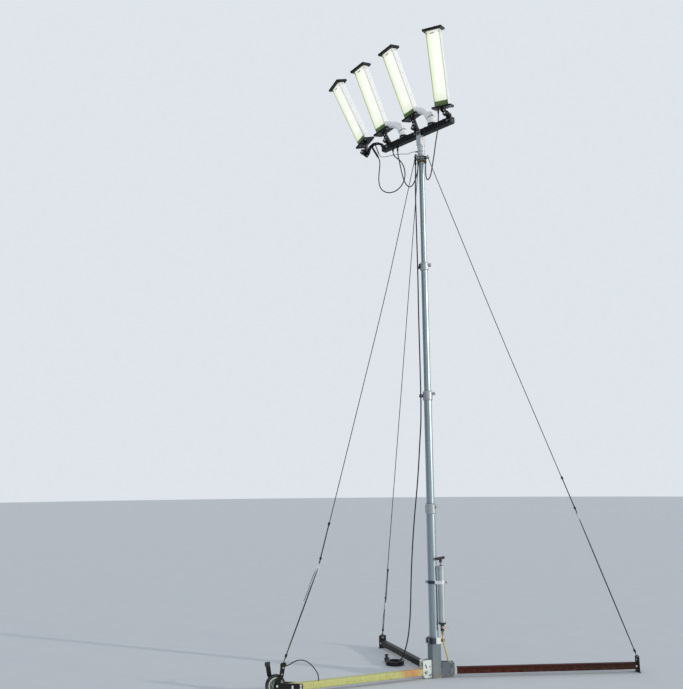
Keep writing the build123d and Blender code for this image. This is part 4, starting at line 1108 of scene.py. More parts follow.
@dataclass
class Cabling(Assembly):
    """Lamp cables, the thin link, the pump's hose and the loop at the left leg's end."""

    body = "head"
    # Routes by their place along the bar, their height and their place to its far side
    outer: Route = (
        (-0.52, 4.53, -0.01), (-0.522, 4.45, -0.022), (-0.518, 4.37, -0.032), (-0.496, 4.296, -0.038),
        (-0.44, 4.238, -0.042), (-0.362, 4.204, -0.044), (-0.276, 4.202, -0.042), (-0.208, 4.238, -0.038),
        (-0.174, 4.302, -0.034), (-0.178, 4.374, -0.03), (-0.206, 4.442, -0.026), (-0.252, 4.502, -0.022),
        (-0.312, 4.548, -0.018), (-0.34, 4.588, -0.014), (-0.34, 4.628, -0.014),
    )
    inner: Route = (
        (-0.306, 4.628, 0.014), (-0.306, 4.586, 0.014), (-0.288, 4.52, 0.012), (-0.268, 4.44, 0.008),
        (-0.242, 4.36, 0.002), (-0.214, 4.288, -0.006), (-0.168, 4.224, -0.016), (-0.108, 4.19, -0.036),
        (-0.054, 4.198, -0.056), (-0.016, 4.244, -0.06), (-0.002, 4.302, -0.054), (0.0, 4.356, -0.048),
        (0.0, 4.396, -0.048),
    )
    link: Route = (
        (-0.496, 4.608, -0.01), (-0.44, 4.59, -0.02), (-0.384, 4.576, -0.03), (-0.326, 4.566, -0.036),
        (-0.268, 4.552, -0.04), (-0.212, 4.54, -0.04), (-0.16, 4.524, -0.036), (-0.118, 4.508, -0.044),
    )
    right: Route = (
        (0.26, 4.7, -0.055), (0.252, 4.63, -0.054), (0.234, 4.56, -0.052), (0.216, 4.482, -0.054),
        (0.2, 4.406, -0.052), (0.178, 4.332, -0.05), (0.158, 4.266, -0.046), (0.134, 4.218, -0.038),
        (0.098, 4.202, -0.026), (0.066, 4.224, -0.014), (0.052, 4.274, -0.006), (0.047, 4.324, -0.001),
        (0.048, 4.362, 0.002), (0.048, 4.396, 0.002),
    )
    # The hose from the pump's valve towards the boss, in the world's axes
    hose: Route = (
        (0.068, -0.022, 0.362), (0.068, -0.022, 0.316), (0.076, -0.02, 0.262), (0.09, -0.013, 0.205),
        (0.104, -0.002, 0.16),
    )
    # The loop by its place along the left leg, its height and its place to one side
    end_loop: Route = (
        (1.297, 0.21, -0.029), (1.262, 0.214, -0.03), (1.226, 0.236, -0.032), (1.18, 0.246, -0.034),
        (1.132, 0.236, -0.034), (1.088, 0.206, -0.032), (1.052, 0.166, -0.028), (1.026, 0.126, -0.02),
        (1.018, 0.098, -0.014), (1.018, 0.075, -0.014),
    )

    def build(self) -> None:
        """Lay every hanging cable, and sweep the tilting lamp's one as a mesh of its own."""
        arm, eye, boss = on_bar(-0.56, 4.64), on_bar(-0.545, 4.665), Leg.RIGHT.at(0.112, 0.075)
        outer = [arm, arm + (arm - on_bar(-0.64, 4.766)).normalized() * 0.052, *route_on_bar(self.outer)]
        wire = [eye, eye + (eye - on_bar(-0.592, 4.772)).normalized() * 0.035, *route_on_bar(self.link),
                Vector((-0.08, 0.0, 4.504)), Vector((-0.053, 0.0, 4.504))]
        hose = [*map(Vector, self.hose), boss + UP * 0.05, boss + UP * 0.022]
        loop = [Leg.LEFT.at(*point) for point in self.end_loop]
        for cord in (
            Cord(self.shop, "lamp_cable_outer", "lamp_1_cable", outer, CABLE, "head"),
            Cord(self.shop, "lamp_cable_inner", "lamp_2_cable", route_on_bar(self.inner), CABLE, "head"),
            Cord(self.shop, "lamp_link_wire", "lamp_1_link", wire, 0.0025, "head"),
            Cord(self.shop, "pump_yellow_hose", "pump_hose", hose, 0.006, slot="hose_rubber"),
            Cord(self.shop, "left_end_loop", "left_end_cable", loop, 0.004, lay="loose"),
        ):
            cord.build()
        mouth = on_bar(0.262, 4.778, -0.054)
        line = evened(read_line([mouth, mouth - UP * 0.036, *route_on_bar(self.right)]), 0.006)
        tube = Solid(smooth=60).swept(line, CABLE, 12)
        piece = self.place(tube, "lamp_cable_right", "cable_rubber", "lamp_4_cable", rigid=False)
        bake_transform(piece)


@dataclass
class PowerLine(Assembly):
    """The supply cable down the mast, its coil on the ground, two ties and the plug."""

    radius: float = 0.0055
    centre: Point = (-0.296, 0.452, 0.0)
    columns: tuple[float, ...] = (0.0765, 0.0655, 0.0545)
    rows: tuple[float, ...] = (0.0062, 0.0172, 0.0282)
    order: tuple[tuple[int, int], ...] = (
        (0, 1), (0, 0), (1, 0), (2, 0), (2, 1), (1, 1), (2, 2), (1, 2), (0, 2))
    steps: int = 14
    tail: Point = (-0.361, 0.492, 0.022)
    # From the ring's gland down the mast to the coil
    drop: Route = (
        (-0.054, 0.005, 4.396), (-0.054, 0.005, 4.33), (-0.059, 0.006, 4.24), (-0.061, 0.004, 4.06),
        (-0.059, 0.005, 3.7), (-0.057, 0.007, 3.34), (-0.06, 0.005, 2.98), (-0.058, 0.004, 2.64),
        (-0.058, 0.004, 2.12), (-0.072, 0.036, 1.915), (-0.092, 0.098, 1.578), (-0.124, 0.16, 1.265),
        (-0.146, 0.218, 0.96), (-0.157, 0.262, 0.705), (-0.164, 0.296, 0.459), (-0.184, 0.322, 0.25),
        (-0.222, 0.334, 0.11), (-0.272, 0.344, 0.034), (-0.302, 0.369, 0.017),
    )

    def winding(self) -> list[Vector]:
        """Wind the coil: nine turns in three columns and rows, then out to the plug.

        Returns:
            Its control points.
        """
        start, total = radians(-94), len(self.order) - 1
        last = start - 2 * pi * total - radians(117.6)
        count = total * self.steps + 5
        rng, points = Random(7), []
        for step in range(count + 1):
            angle = start + (last - start) * step / count
            place = min((start - angle) / (2 * pi), total)
            cell, part = int(place), place - int(place)
            share = max(0.0, min(1.0, (part - 0.8) / 0.2))
            here, after = self.order[cell], self.order[min(cell + 1, total)]
            reach = self.columns[here[0]] * (1 - share) + self.columns[after[0]] * share
            rise = self.rows[here[1]] * (1 - share) + self.rows[after[1]] * share
            reach += rng.uniform(-0.0006, 0.0006)
            points.append(Vector(self.centre) + Vector((reach * cos(angle), reach * sin(angle), rise)))
        points[0] = Vector(self.drop[-1])
        points[-2:] = Vector((-0.3645, 0.474, 0.0245)), Vector(self.tail)
        return points

    def build(self) -> None:
        """Lay the cable, wind the coil and fit the plug."""
        line = evened(read_line([*map(Vector, self.drop)]), 0.012)
        tube = Solid(smooth=60).swept(line, self.radius, 12)
        cable = self.place(tube, "supply_cable", "cable_rubber", "power_cable")
        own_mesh(cable)
        turns = self.winding()
        coil = spline_object("supply_coil", turns, self.radius)
        coil.data.resolution_u = 3
        coil.data.materials.append(self.shop.materials["cable_rubber"])
        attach(coil, "base")
        self.shop.register(coil, "cable_rubber", "power_coil")
        plug = self.plug()
        length_of(read_line(turns))
        self.straps()

    def straps(self) -> bpy.types.Object:
        """Two straps that hold the coil's turns together.

        Returns:
            The straps as one piece.
        """
        straps, middle = Solid(smooth=50, bevel=0.0005), Vector(self.centre) + UP * self.rows[1]
        wide, tall, low, power = 0.0185, 0.0187, -0.0168, 0.55
        angles = [2 * pi * step / 28 for step in range(28)]
        loop = [(wide * squared(cos(a), power), max(tall * squared(sin(a), power), low)) for a in angles]
        for out in (heading(20), heading(212)):
            frame = frame_at(middle + out * self.columns[1], out.cross(UP), out)
            straps.lofted(frame, [([(x * scale, y * scale) for x, y in loop], z) for scale, z in (
                (0.95, -0.006), (1.03, -0.006), (1.03, 0.006), (0.95, 0.006))], hollow=True)
            straps.block(frame, (0.013, 0.004, 0.013), (0.008, 0.0198, 0.0))
        return self.place(straps, "coil_straps", "tie_nylon")

    def plug(self) -> list[bpy.types.Object]:
        """The plug with its tapered tail, grip ribs, collar, pins and flap.

        Returns:
            Its three pieces.
        """
        frame = frame_at(Vector(self.tail), NORTH, EAST)
        shell, pins, flap = Solid(), Solid(), Solid(bevel=0.0008)
        outline = [(0.0062, 0.0)]
        for rib in range(5):
            base, size = 0.002 + rib * 0.0048, 0.0068 + rib * 0.0009
            outline += [(size + 0.0011, base), (size + 0.0013, base + 0.0026), (size - 0.0004, base + 0.0032)]
        outline += [(0.013, 0.026), (0.0185, 0.03), (0.0205, 0.034), (0.0205, 0.066), (0.0218, 0.068),
                    (0.0218, 0.076), (0.0205, 0.078), (0.0205, 0.0985), (0.0192, 0.1), (0.0165, 0.1),
                    (0.0165, 0.088), (0.004, 0.0875)]
        shell.turned(frame, outline, 36)
        for rib in range(12):
            shell.block(frame @ spun(30 * rib), (0.0016, 0.0035, 0.026), (0.0208, 0.0, 0.05))
        for turn in (90, 210, 330):
            pins.turned(frame @ Matrix.Translation(heading(turn) * 0.0085),
                        [(0.0024, 0.086), (0.0024, 0.095), (0.0018, 0.097), (0.0004, 0.0975)], 14)
        hinge = frame @ shifted(0.0, -0.0235, 0.096) @ spun(62, "X")
        flap.turned(hinge @ shifted(0, -0.019),
                    [(0.019, -0.0015), (0.0195, 0.0), (0.0195, 0.0025), (0.018, 0.0035)], 28)
        flap.block(hinge, (0.012, 0.006, 0.005), (0, 0.001, 0.001))
        return [self.place(shell, "supply_plug_body", "black_plastic", "power_plug"),
                self.place(pins, "supply_plug_pins", "brass"),
                self.place(flap, "supply_plug_flap", "tie_nylon")]


@dataclass
class GuyLine(Assembly):
    """One guy: knot, rope, tensioner plate, doubled lower part and the loop at the leg's end."""

    leg: Leg
    sag: Flat
    tension: Flat
    keep: float
    anchor: float

    @property
    def label(self) -> str:
        """The leg's name in small letters."""
        return self.leg.name.lower()

    def foot(self) -> Vector:
        """Where the rope meets the leg's end."""
        return (self.leg.at(WHEEL_AT - 0.054, 0.236, -0.029) if self.leg is Leg.LEFT
                else self.leg.at(self.leg.reach + 0.005, 0.118))

    def sink(self, piece: bpy.types.Object) -> None:
        """Give a piece its own copy of its mesh."""
        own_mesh(piece)

    def end_loop(self, solid: Solid) -> None:
        """Add the rope's fastening at the leg's end: turns round a horn, or two loops through an eye.

        Args:
            solid: The rope's mesh in the making.
        """
        leg, foot = self.leg, self.foot()
        if leg is Leg.LEFT:
            for turn, drop in enumerate((0.012, 0.0195, 0.027)):
                frame = frame_at(leg.at(WHEEL_AT - 0.0535 + 0.001 * turn, 0.236 - drop, -0.029), UP, leg.way)
                angles = [2 * pi * step / 32 for step in range(33)]
                solid.swept([frame @ Vector((0.0205 * squared(cos(a), 0.4), 0.0077 * squared(sin(a), 0.6),
                                             ROPE * a / (2 * pi))) for a in angles], ROPE)
            return
        for offset in (-0.0042, 0.0042):
            angles = [2 * pi * step / 28 for step in range(29)]
            solid.swept([foot + (leg.way * (0.0145 * sin(angle)) + UP * (0.0145 * cos(angle) - 0.004))
                         + leg.side * offset for angle in angles], ROPE * 0.9)

    def upper(self, rope: Solid, end: Vector) -> None:
        """Add the rope from the ring to the plate, with its free end tied back along it.

        Args:
            rope: The rope's mesh in the making.
            end: Where it meets the plate.
        """
        top, sag, side = self.leg.at(0.06, RING_TOP), self.leg.at(*self.sag), self.leg.side
        rise = (top - sag).normalized()
        place = self.leg.at(*self.tension)
        main = read_line([top + rise * 0.017, top, top.lerp(sag, 0.55), sag, sag.lerp(place, 0.45), end])
        rope.laid(main).knot(frame_at(top + rise * 0.004, top - sag), 2.2)
        spots = evened(main, 0.01)
        back = [end] + [spots[-count] + side * gap for count, gap in ((2, 0.008), (7, 0.009), (21, 0.008),
                                                                      (35, 0.0072))]
        rope.laid(read_line(back), ROPE * 0.92)
        rope.knot(frame_at(spots[-35] + side * 0.0036, spots[-34] - spots[-36]), 3.4)
        rope.knot(frame_at(spots[-6] + side * 0.003, spots[-7] - spots[-5]), 2.4)

    def build(self) -> None:
        """Make the rope and its tensioner."""
        place, foot, side = self.leg.at(*self.tension), self.foot(), self.leg.side
        down = (foot - place).normalized()
        rope = Solid(smooth=70)
        self.upper(rope, place - down * 0.02)
        rope.laid(read_line([place + down * 0.02, place + down * 0.12 + side * 0.004,
                             place.lerp(foot, 0.5) + side * 0.005, foot - down * 0.09 + side * 0.004, foot]))
        rope.laid(read_line([place, place + down * 0.1 - side * 0.0045, place.lerp(foot, 0.45) - side * 0.006,
                             foot - down * 0.1 - side * 0.0045, foot]), ROPE * 0.92)
        rope.knot(frame_at(foot - down * 0.062, down), 3.2)
        self.end_loop(rope)
        if self.leg is Leg.LEFT:
            loose = ((0, 0), (0.012, -0.02), (0.036, 0.03), (0.044, 0.11), (0.032, 0.19), (0.046, 0.27))
            rope.laid(read_line([place + side * out + down * low for out, low in loose]), ROPE * 0.7)
        self.sink(self.place(rope, f"{self.label}_guy_rope", "guy_rope", f"{self.label}_guy"))
        self.tensioner(frame_at(place, side, down))

    def tensioner(self, frame: Matrix) -> None:
        """Make the flat plate with three holes, with rolled rims round them.

        Args:
            frame: Its frame, with X along the rope and Z across it.
        """
        plate, rims = Solid(), Solid(smooth=50)
        angles = [2 * pi * step / 32 for step in range(32)]
        outline = [(0.011 * cos(a) + (0.024 if cos(a) >= 0 else -0.024), 0.011 * sin(a)) for a in angles]
        plate.prism(frame, outline, -0.002, 0.002)
        for along in (-0.02, 0.0, 0.02):
            rims.washer(frame @ shifted(along), 0.0042, 0.0068, -0.003, 0.003, 20, 0.0008)
        self.sink(self.place(plate, f"{self.label}_tensioner_plate", "rivet_pale", "guy_tensioners"))
        self.sink(self.place(rims, f"{self.label}_tensioner_rims", "bolt_steel", "guy_tensioners"))


@dataclass
class BoxLamp(Assembly):
    """One lamp: white side channels, milky panels, seams, green foot, screws and flange bolts."""

    index: int
    width: float = 0.13
    depth: float = 0.07
    low: float = 0.016
    foot: float = 0.061
    high: float = 0.671
    top: float = 0.687
    panel: float = 0.1184

    @property
    def body(self) -> str:
        """The body that the lamp rides on."""
        return "lamp_4" if self.index == 3 else "head"

    @property
    def name(self) -> str:
        """The lamp's name, by its number from the left."""
        return f"lamp_{self.index + 1}"

    def channel(self, side: int, corner: float = 0.004) -> list[Flat]:
        """Draw a side channel whose lips wrap round the box's corners.

        Args:
            side: 1 for the channel on the frame's X side, or -1 for the other.
            corner: Radius of its corners.

        Returns:
            Its outline.
        """
        x, y = self.width / 2, self.depth / 2
        points = [(x - 0.0046, -y)]
        for end, start in ((-1, -90), (1, 0)):
            angles = [radians(start + 30 * step) for step in range(4)]
            points += [(x - corner + corner * cos(a), end * (y - corner) + corner * sin(a)) for a in angles]
        return [(side * along, across) for along, across in (*points, (x - 0.0046, y))]

    def build(self) -> None:
        """Make every part of the lamp in its own frame."""
        name, frame, flat = self.name, lamp_frame(self.index), Matrix()
        node = "lamp_4_housing" if self.index == 3 else "lamp_housings"
        shell, panel, foot = (Solid(frame, 30, bevel) for bevel in (0.0006, 0.0008, 0.0008))
        for side in (1, -1):
            shell.prism(flat, self.channel(side), self.low + 0.003, self.high - 0.003)
        deep, foot_top, panel_top = self.depth - 0.0018, self.foot, self.high
        for solid, low, high, gap in ((panel, foot_top, panel_top, 0.004), (foot, self.low, foot_top, 0.002)):
            solid.block(flat, (self.panel, deep, high - low - gap), (0, 0, (high + low) / 2), 0.001)
        for level in (0.026, 0.038, 0.05):
            foot.block(flat, (self.panel, self.depth + 0.0006, 0.0022), (0, 0, level), 0.0006)
        self.place(shell, f"{name}_side_channels", "lamp_shell_white", node)
        self.place(panel, f"{name}_milky_panels", "lamp_panel_milky")
        self.place(foot, f"{name}_green_foot", "lamp_foot_green")
        self.seams()
        self.screws()
        self.bolts()

    def seams(self) -> None:
        """Rubber seams beside the panels, gaskets at both flanges and the slots under the top."""
        rubber, flat = Solid(lamp_frame(self.index), 30), Matrix()
        for side in (1, -1):
            rubber.block(flat, (0.0012, self.depth - 0.0006, self.high - self.low - 0.006),
                         (side * (self.panel / 2 + 0.0006), 0, (self.high + self.low) / 2), 0.0003)
        for level, tall in ((self.low + 0.0014, 0.003), (self.high - 0.0016, 0.0034)):
            rubber.block(flat, (self.width + 0.003, self.depth + 0.003, tall), (0, 0, level), 0.007)
        for face in (self.depth / 2 - 0.0006, 0.0006 - self.depth / 2):
            for along, wide in ((-0.008, 0.034), (0.053, 0.006), (-0.053, 0.006)):
                rubber.block(flat, (wide, 0.003, 0.0065), (along, face, 0.644), 0.0012)
        self.place(rubber, f"{self.name}_seams", "seam_rubber")

    def screws(self) -> None:
        """Small screws down the channels and at the panels' ends."""
        screws = Solid(lamp_frame(self.index))
        for side in (1, -1):
            for step in range(6):
                place = Vector((side * self.width / 2, 0, 0.075 + step * 0.114))
                screws.screw(frame_at(place, EAST * side), 0.0032, 0.0022)
            for face in (1, -1):
                for level in (0.072, 0.657):
                    place = Vector((side * 0.0525, face * (self.depth / 2 - 0.001), level))
                    screws.screw(frame_at(place, NORTH * face), 0.002, 0.0014)
        self.place(screws, f"{self.name}_screws")

    def bolts(self) -> None:
        """Bolts through both flanges."""
        bolts = Solid(lamp_frame(self.index))
        for x in (-0.078, -0.028, 0.028, 0.078):
            for y in (-0.051, 0.051):
                bolts.bolt(frame_at(Vector((x, y, self.top)), UP), 0.0032)
                bolts.bolt(frame_at(Vector((x, y, 0)), -UP), 0.0032)
        self.place(bolts, f"{self.name}_flange_bolts")


@dataclass
class Crossbar(Assembly):
    """The black square bar: end caps, ties, bolts, elbow lips, neck bolts, knob caps and glands."""

    body = "head"
    far_end: float = -0.472
    near_end: float = 0.372
    elbows: tuple[Point, ...] = ((-0.208, 0.18, 20.0), (0.14, 0.2, 23.0))
    band_angle: float = 21.0
    gland_rim: float = 4.432

    def build(self) -> None:
        """Dress the bar and everything that is fixed to it."""
        self.shop.dress("black_paint", "crossbar", "lamp_1_arm", "lamp_forks", "lamp_flanges",
                        "lamp_4_flanges", "elbow_sockets")
        self.shop.dress("black_plastic", "lamp_knobs", "lamp_necks", "lamp_4_neck", "cable_glands",
                        "lamp_1_strain_reliefs", "lamp_4_strain_relief")
        self.shop.dress("pipe_white", "lamp_elbows")
        self.caps()
        self.ties()
        self.bar_bolts()
        self.neck_bolts()
        self.knob_caps()
        self.elbow_lips()
        self.glands()
        self.relief_boots()

    def caps(self) -> None:
        """Moulded caps in the bar's ends, each with a domed plug."""
        caps = Solid(smooth=35, bevel=0.0012)
        for end, way in ((self.near_end, BAR_WAY), (self.far_end, -BAR_WAY)):
            frame = frame_at(on_bar(end, BAR_HEIGHT), way, BAR_FAR)
            caps.block(frame, (0.0565, 0.0565, 0.004), (0, 0, 0.0018), 0.005)
            caps.turned(frame, [(0.016, 0.003), (0.0155, 0.006), (0.011, 0.0078), (0.002, 0.0084)], 28)
        self.place(caps, "bar_end_caps", "black_plastic")

    def ties(self) -> None:
        """Cable ties round the bar, with their locks on the near side."""
        bands, inner, outer, half = Solid(smooth=35), BAR_HALF + 0.0004, BAR_HALF + 0.002, 0.0024
        for number, along in enumerate((-0.365, -0.262, -0.15, 0.072, 0.206, 0.292)):
            frame = frame_at(on_bar(along, BAR_HEIGHT), BAR_WAY, BAR_FAR)
            lean = 0.012 if number % 2 else -0.01
            bands.lofted(frame, [(cut_corners(reach, reach, 0.004), shift) for reach, shift in (
                (inner, -half), (outer, -half), (outer, half), (inner, half))], hollow=True)
            bands.block(frame, (0.0042, 0.0085, 0.0075), (-outer - 0.001, lean, 0), 0.001)
            bands.block(frame, (0.0014, 0.016, 0.003), (-outer - 0.0018, lean + 0.01, 0), 0.0004)
        self.place(bands, "bar_cable_ties", "tie_nylon")

    def bar_bolts(self) -> None:
        """Bolts through the saddle's cheeks, under each fork and on the arm's root."""
        bolts, pins = Solid(), Solid()
        for along, z in ((-0.014, 4.688), (0.014, 4.688), (-0.014, 4.662), (0.014, 4.662)):
            for far in (0.034, -0.034):
                bolts.bolt(bar_face(along, z, far), 0.0042)
        for along, _ in PIVOTS[1:]:
            for far in (BAR_HALF, -BAR_HALF):
                bolts.bolt(bar_face(along, BAR_HEIGHT, far), 0.005)
        for along in (self.far_end + 0.016, self.near_end - 0.016):
            bolts.screw(bar_face(along, BAR_HEIGHT, -BAR_HALF), 0.0045, 0.004)
        for along, z, radius in ((-0.69, 4.686, 0.004), (-0.664, 4.758, 0.0038), (-0.552, 4.766, 0.0038)):
            pins.bolt(bar_face(along, z, -0.011), radius)
        self.place(bolts, "bar_bolts")
        self.place(pins, "arm_bolts")

    def neck_bolts(self) -> None:
        """Two light bolts on each lamp's neck and a clamp ring round its boss."""
        for index, (pivot, flange) in enumerate(zip(PIVOTS, FLANGE_AT)):
            body, frame = "lamp_4" if index == 3 else "head", lamp_frame(index)
            bolts, ring = Solid(), Solid()
            for share in (0.42, 0.68):
                along, z = (start + (end - start) * share for start, end in zip(pivot, flange))
                for far in (0.0122, -0.0122):
                    bolts.bolt(bar_face(along, z, far), 0.0036)
            ring.washer(frame, 0.0255, 0.0285, -0.0135, -0.0055, 36, 0.001)
            ring.block(frame, (0.01, 0.012, 0.008), (0.0, -0.0325, -0.0095), 0.001)
            self.place(bolts, f"lamp_{index + 1}_neck_bolts", "rivet_pale", body=body)
            self.place(ring, f"lamp_{index + 1}_neck_ring", "clamp_black_metal", body=body)

    def knob_caps(self) -> None:
        """Pale domed caps and grip ridges on the star knobs."""
        caps, ridges = Solid(smooth=50), Solid(smooth=35, bevel=0.0008)
        for along, z in PIVOTS:
            frame = frame_at(on_bar(along, z, -0.0543), -BAR_FAR, BAR_WAY)
            caps.turned(frame, [(0.009, -0.001), (0.009, 0.0012), (0.0072, 0.0028), (0.001, 0.0036)], 24)
            for lobe in range(5):
                ridges.block(frame @ spun(36 + 72 * lobe), (0.01, 0.0045, 0.0016), (0.016, 0, 0.0006), 0.001)
        self.place(caps, "knob_caps", "rivet_pale")
        self.place(ridges, "knob_ridges", "black_plastic")

    def elbow_lips(self) -> None:
        """Rolled lips and clamp bands on the elbow pipes, with the screw of each band."""
        lips, bands, screws = Solid(smooth=45), Solid(), Solid()
        for land, bend, slope in self.elbows:
            for angle, inner, outer, tall in ((10.0, 0.0366, 0.0388, 0.005), (32.5, 0.0366, 0.0384, 0.004),
                                              (90 - slope, 0.0316, 0.0338, 0.006)):
                lips.washer(self.on_arc(land, bend, angle), inner, outer, -tall / 2, tall / 2, 40, 0.0012)
            frame = self.on_arc(land, bend, self.band_angle)
            bands.washer(frame, 0.0366, 0.0379, -0.0045, 0.0045, 40, 0.0003)
            screws.block(frame, (0.008, 0.012, 0.009), (0.0395, -0.004, 0), 0.001)
            screws.screw(frame @ shifted(0.0395, -0.01) @ spun(90, "X"), 0.0036, 0.007)
            screws.screw(frame @ shifted(0.012, -0.036) @ spun(98, "X"), 0.0026, 0.003)
        self.place(lips, "elbow_lips", "pipe_white")
        self.place(bands, "elbow_bands")
        self.place(screws, "elbow_band_screws")

    @staticmethod
    def on_arc(land: float, bend: float, angle: float) -> Matrix:
        """Find a frame on an elbow's centre line, with Z along the pipe.

        Args:
            land: Where its foot stands along the bar.
            bend: Radius of its bend.
            angle: Angle up from its foot, in degrees.

        Returns:
            The matrix from the frame to the world.
        """
        turn, rise = radians(angle), leant(ELBOW_LEAN)
        place = on_bar(land - bend + bend * cos(turn), BAR_HEIGHT + BAR_HALF) + rise * (bend * sin(turn))
        return frame_at(place, BAR_WAY * -sin(turn) + rise * cos(turn), BAR_FAR)

    def glands(self) -> None:
        """Hexagon nuts and ribbed boots on the glands under the bar and the ring."""
        nuts, boots = Solid(smooth=35), Solid(smooth=45)
        bar, ring = (-0.001, 0.0065, 0.0225), (0.003, 0.01, 0.036)
        under, rim = BAR_HEIGHT - BAR_HALF, self.gland_rim
        for seat, inner, (low, high, start) in (
            (on_bar(-0.34, under, -0.014), 0.0052, bar), (on_bar(-0.306, under, 0.014), 0.0052, bar),
            (on_bar(0, rim, -0.048), 0.0052, ring), (on_bar(0.048, rim, 0.002), 0.0052, ring),
            (Vector((-0.054, 0.005, rim)), 0.0057, ring),
        ):
            frame = frame_at(seat, -UP, EAST)
            nuts.hexagon(frame, 0.0125, low, high)
            profile = [(inner + 0.002, start - 0.003)]
            for rib in range(5):
                size, base = inner + 0.0032 - rib * 0.00045, start + rib * 0.0034
                profile += [(size, base), (size + 0.0009, base + 0.001), (size + 0.0009, base + 0.002),
                            (size - 0.0002, base + 0.0028)]
            boots.turned(frame, [*profile, (inner + 0.0004, start + 0.019)], 20)
        self.place(nuts, "gland_nuts", "clamp_black_metal", slot="black_plastic")
        self.place(boots, "gland_boots", "cable_rubber", slot="black_plastic")

    def relief_boots(self) -> None:
        """Ribbed boots where the cables leave the tilting lamp and lamp 1's arm."""
        relief, outer = Solid(smooth=45), Solid(smooth=45)
        mouth = on_bar(0.262, 4.778, -0.054)
        relief.hexagon(frame_at(mouth + UP * 0.028, -UP, EAST), 0.0128, 0.0, 0.008)
        relief.turned(frame_at(mouth, -UP), [
            (0.0092, -0.004), (0.0094, 0.0), (0.0084, 0.003), (0.0088, 0.005), (0.0074, 0.008),
            (0.0078, 0.01), (0.0064, 0.013), (0.0068, 0.015), (0.0056, 0.019), (0.0054, 0.024)], 24)
        for mouth, root, size in ((on_bar(-0.56, 4.64), on_bar(-0.64, 4.766), 1.0),
                                  (on_bar(-0.545, 4.665), on_bar(-0.592, 4.772), 0.52)):
            profile = [(radius * size, height * size) for radius, height in (
                (0.0102, -0.02), (0.0112, -0.018), (0.0112, -0.012), (0.0102, -0.01), (0.0102, -0.002),
                (0.0092, 0.001), (0.0096, 0.004), (0.0082, 0.007), (0.0086, 0.01), (0.007, 0.013),
                (0.0074, 0.016), (0.0058, 0.021), (0.0054, 0.026))]
            outer.turned(frame_at(mouth, mouth - root), profile, 24)
        self.place(relief, "lamp_4_relief_boot", "cable_rubber", body="lamp_4", slot="black_plastic")
        self.place(outer, "lamp_1_relief_boots", "cable_rubber", slot="black_plastic")


@dataclass
class MastHead(Assembly):
    """Head fitting and guy ring: lashing, shackle, seam and set screws."""

    body = "head"
    tube: float = 0.025
    collar: float = 0.0328
    turns: float = 3.6

    def build(self) -> None:
        """Dress the head."""
        self.shop.dress("head_two_paints", "head_fitting")
        self.shop.dress("collar_cast_metal", "guy_ring")
        self.lashing()
        screws, welds = Solid(), Solid(smooth=60)
        for turn in range(4):
            out = heading(20 + 90 * turn)
            for level in (4.497, 4.54):
                screws.screw(frame_at(out * self.collar + UP * level, out), 0.004, 0.0045)
        for turn in range(6):
            screws.bolt(frame_at(heading(40 + 60 * turn) * 0.044 + UP * RING_TOP, UP), 0.0028)
        self.place(screws, "head_set_screws")
        self.shackle()
        welds.washer(shifted(0, 0, 4.4525), 0.0305, 0.0338, -0.0012, 0.0016, 48, 0.0012)
        welds.washer(shifted(0, 0, 4.5), 0.0326, 0.0346, -0.004, 0.004, 48, 0.001)
        self.place(welds, "head_weld_rings", "collar_cast_metal")

    def lashing(self) -> None:
        """The olive rope round the top tube, with its knot and free end."""
        rope, points, steps = Solid(smooth=70), [], 40
        for step in range(int(self.turns * steps) + 1):
            angle = 2 * pi * step / steps
            reach = self.tube + 0.0036 + 0.0003 * sin(3.1 * angle)
            points.append(Vector((reach * cos(angle), reach * sin(angle), 4.3985 + 0.0071 * step / steps)))
        rope.laid(points, step=0.0026, pitch=0.03)
        rope.knot(frame_at(Vector((-0.024, -0.024, 4.404)), UP, EAST), 2.6)
        end = [Vector(point) for point in ((-0.022, -0.028, 4.408), (-0.024, -0.034, 4.392),
                                           (-0.028, -0.036, 4.372), (-0.024, -0.04, 4.352))]
        rope.laid(read_line(end), 0.003, 0.003, 0.028)
        self.place(rope, "top_lashing", "olive_rope")

    def shackle(self) -> None:
        """A spare bow shackle that hangs from the ring's rim on the left."""
        out = heading(230)
        hub, across, ring = out * 0.0545 + UP * 4.449, out.cross(UP), Solid(smooth=60)
        angles = [radians(-60 + 12.5 * step) for step in range(25)]
        ring.swept([hub + out * 0.004 + across * (0.0105 * sin(a)) + UP * (0.014 * cos(a) - 0.0125)
                    for a in angles], 0.0024, 12)
        for side in (1, -1):
            ring.turned(frame_at(hub + across * (0.0085 * side) - UP * 0.017, across),
                        [(0.0042, -0.0028), (0.0046, -0.002), (0.0046, 0.002), (0.0042, 0.0028)], 16)
        ring.turned(frame_at(hub - UP * 0.017, across), [
            (0.0024, -0.014), (0.0024, 0.012), (0.0044, 0.0122), (0.0044, 0.0155), (0.0036, 0.016)], 16)
        self.place(ring, "ring_shackle", "rivet_pale")


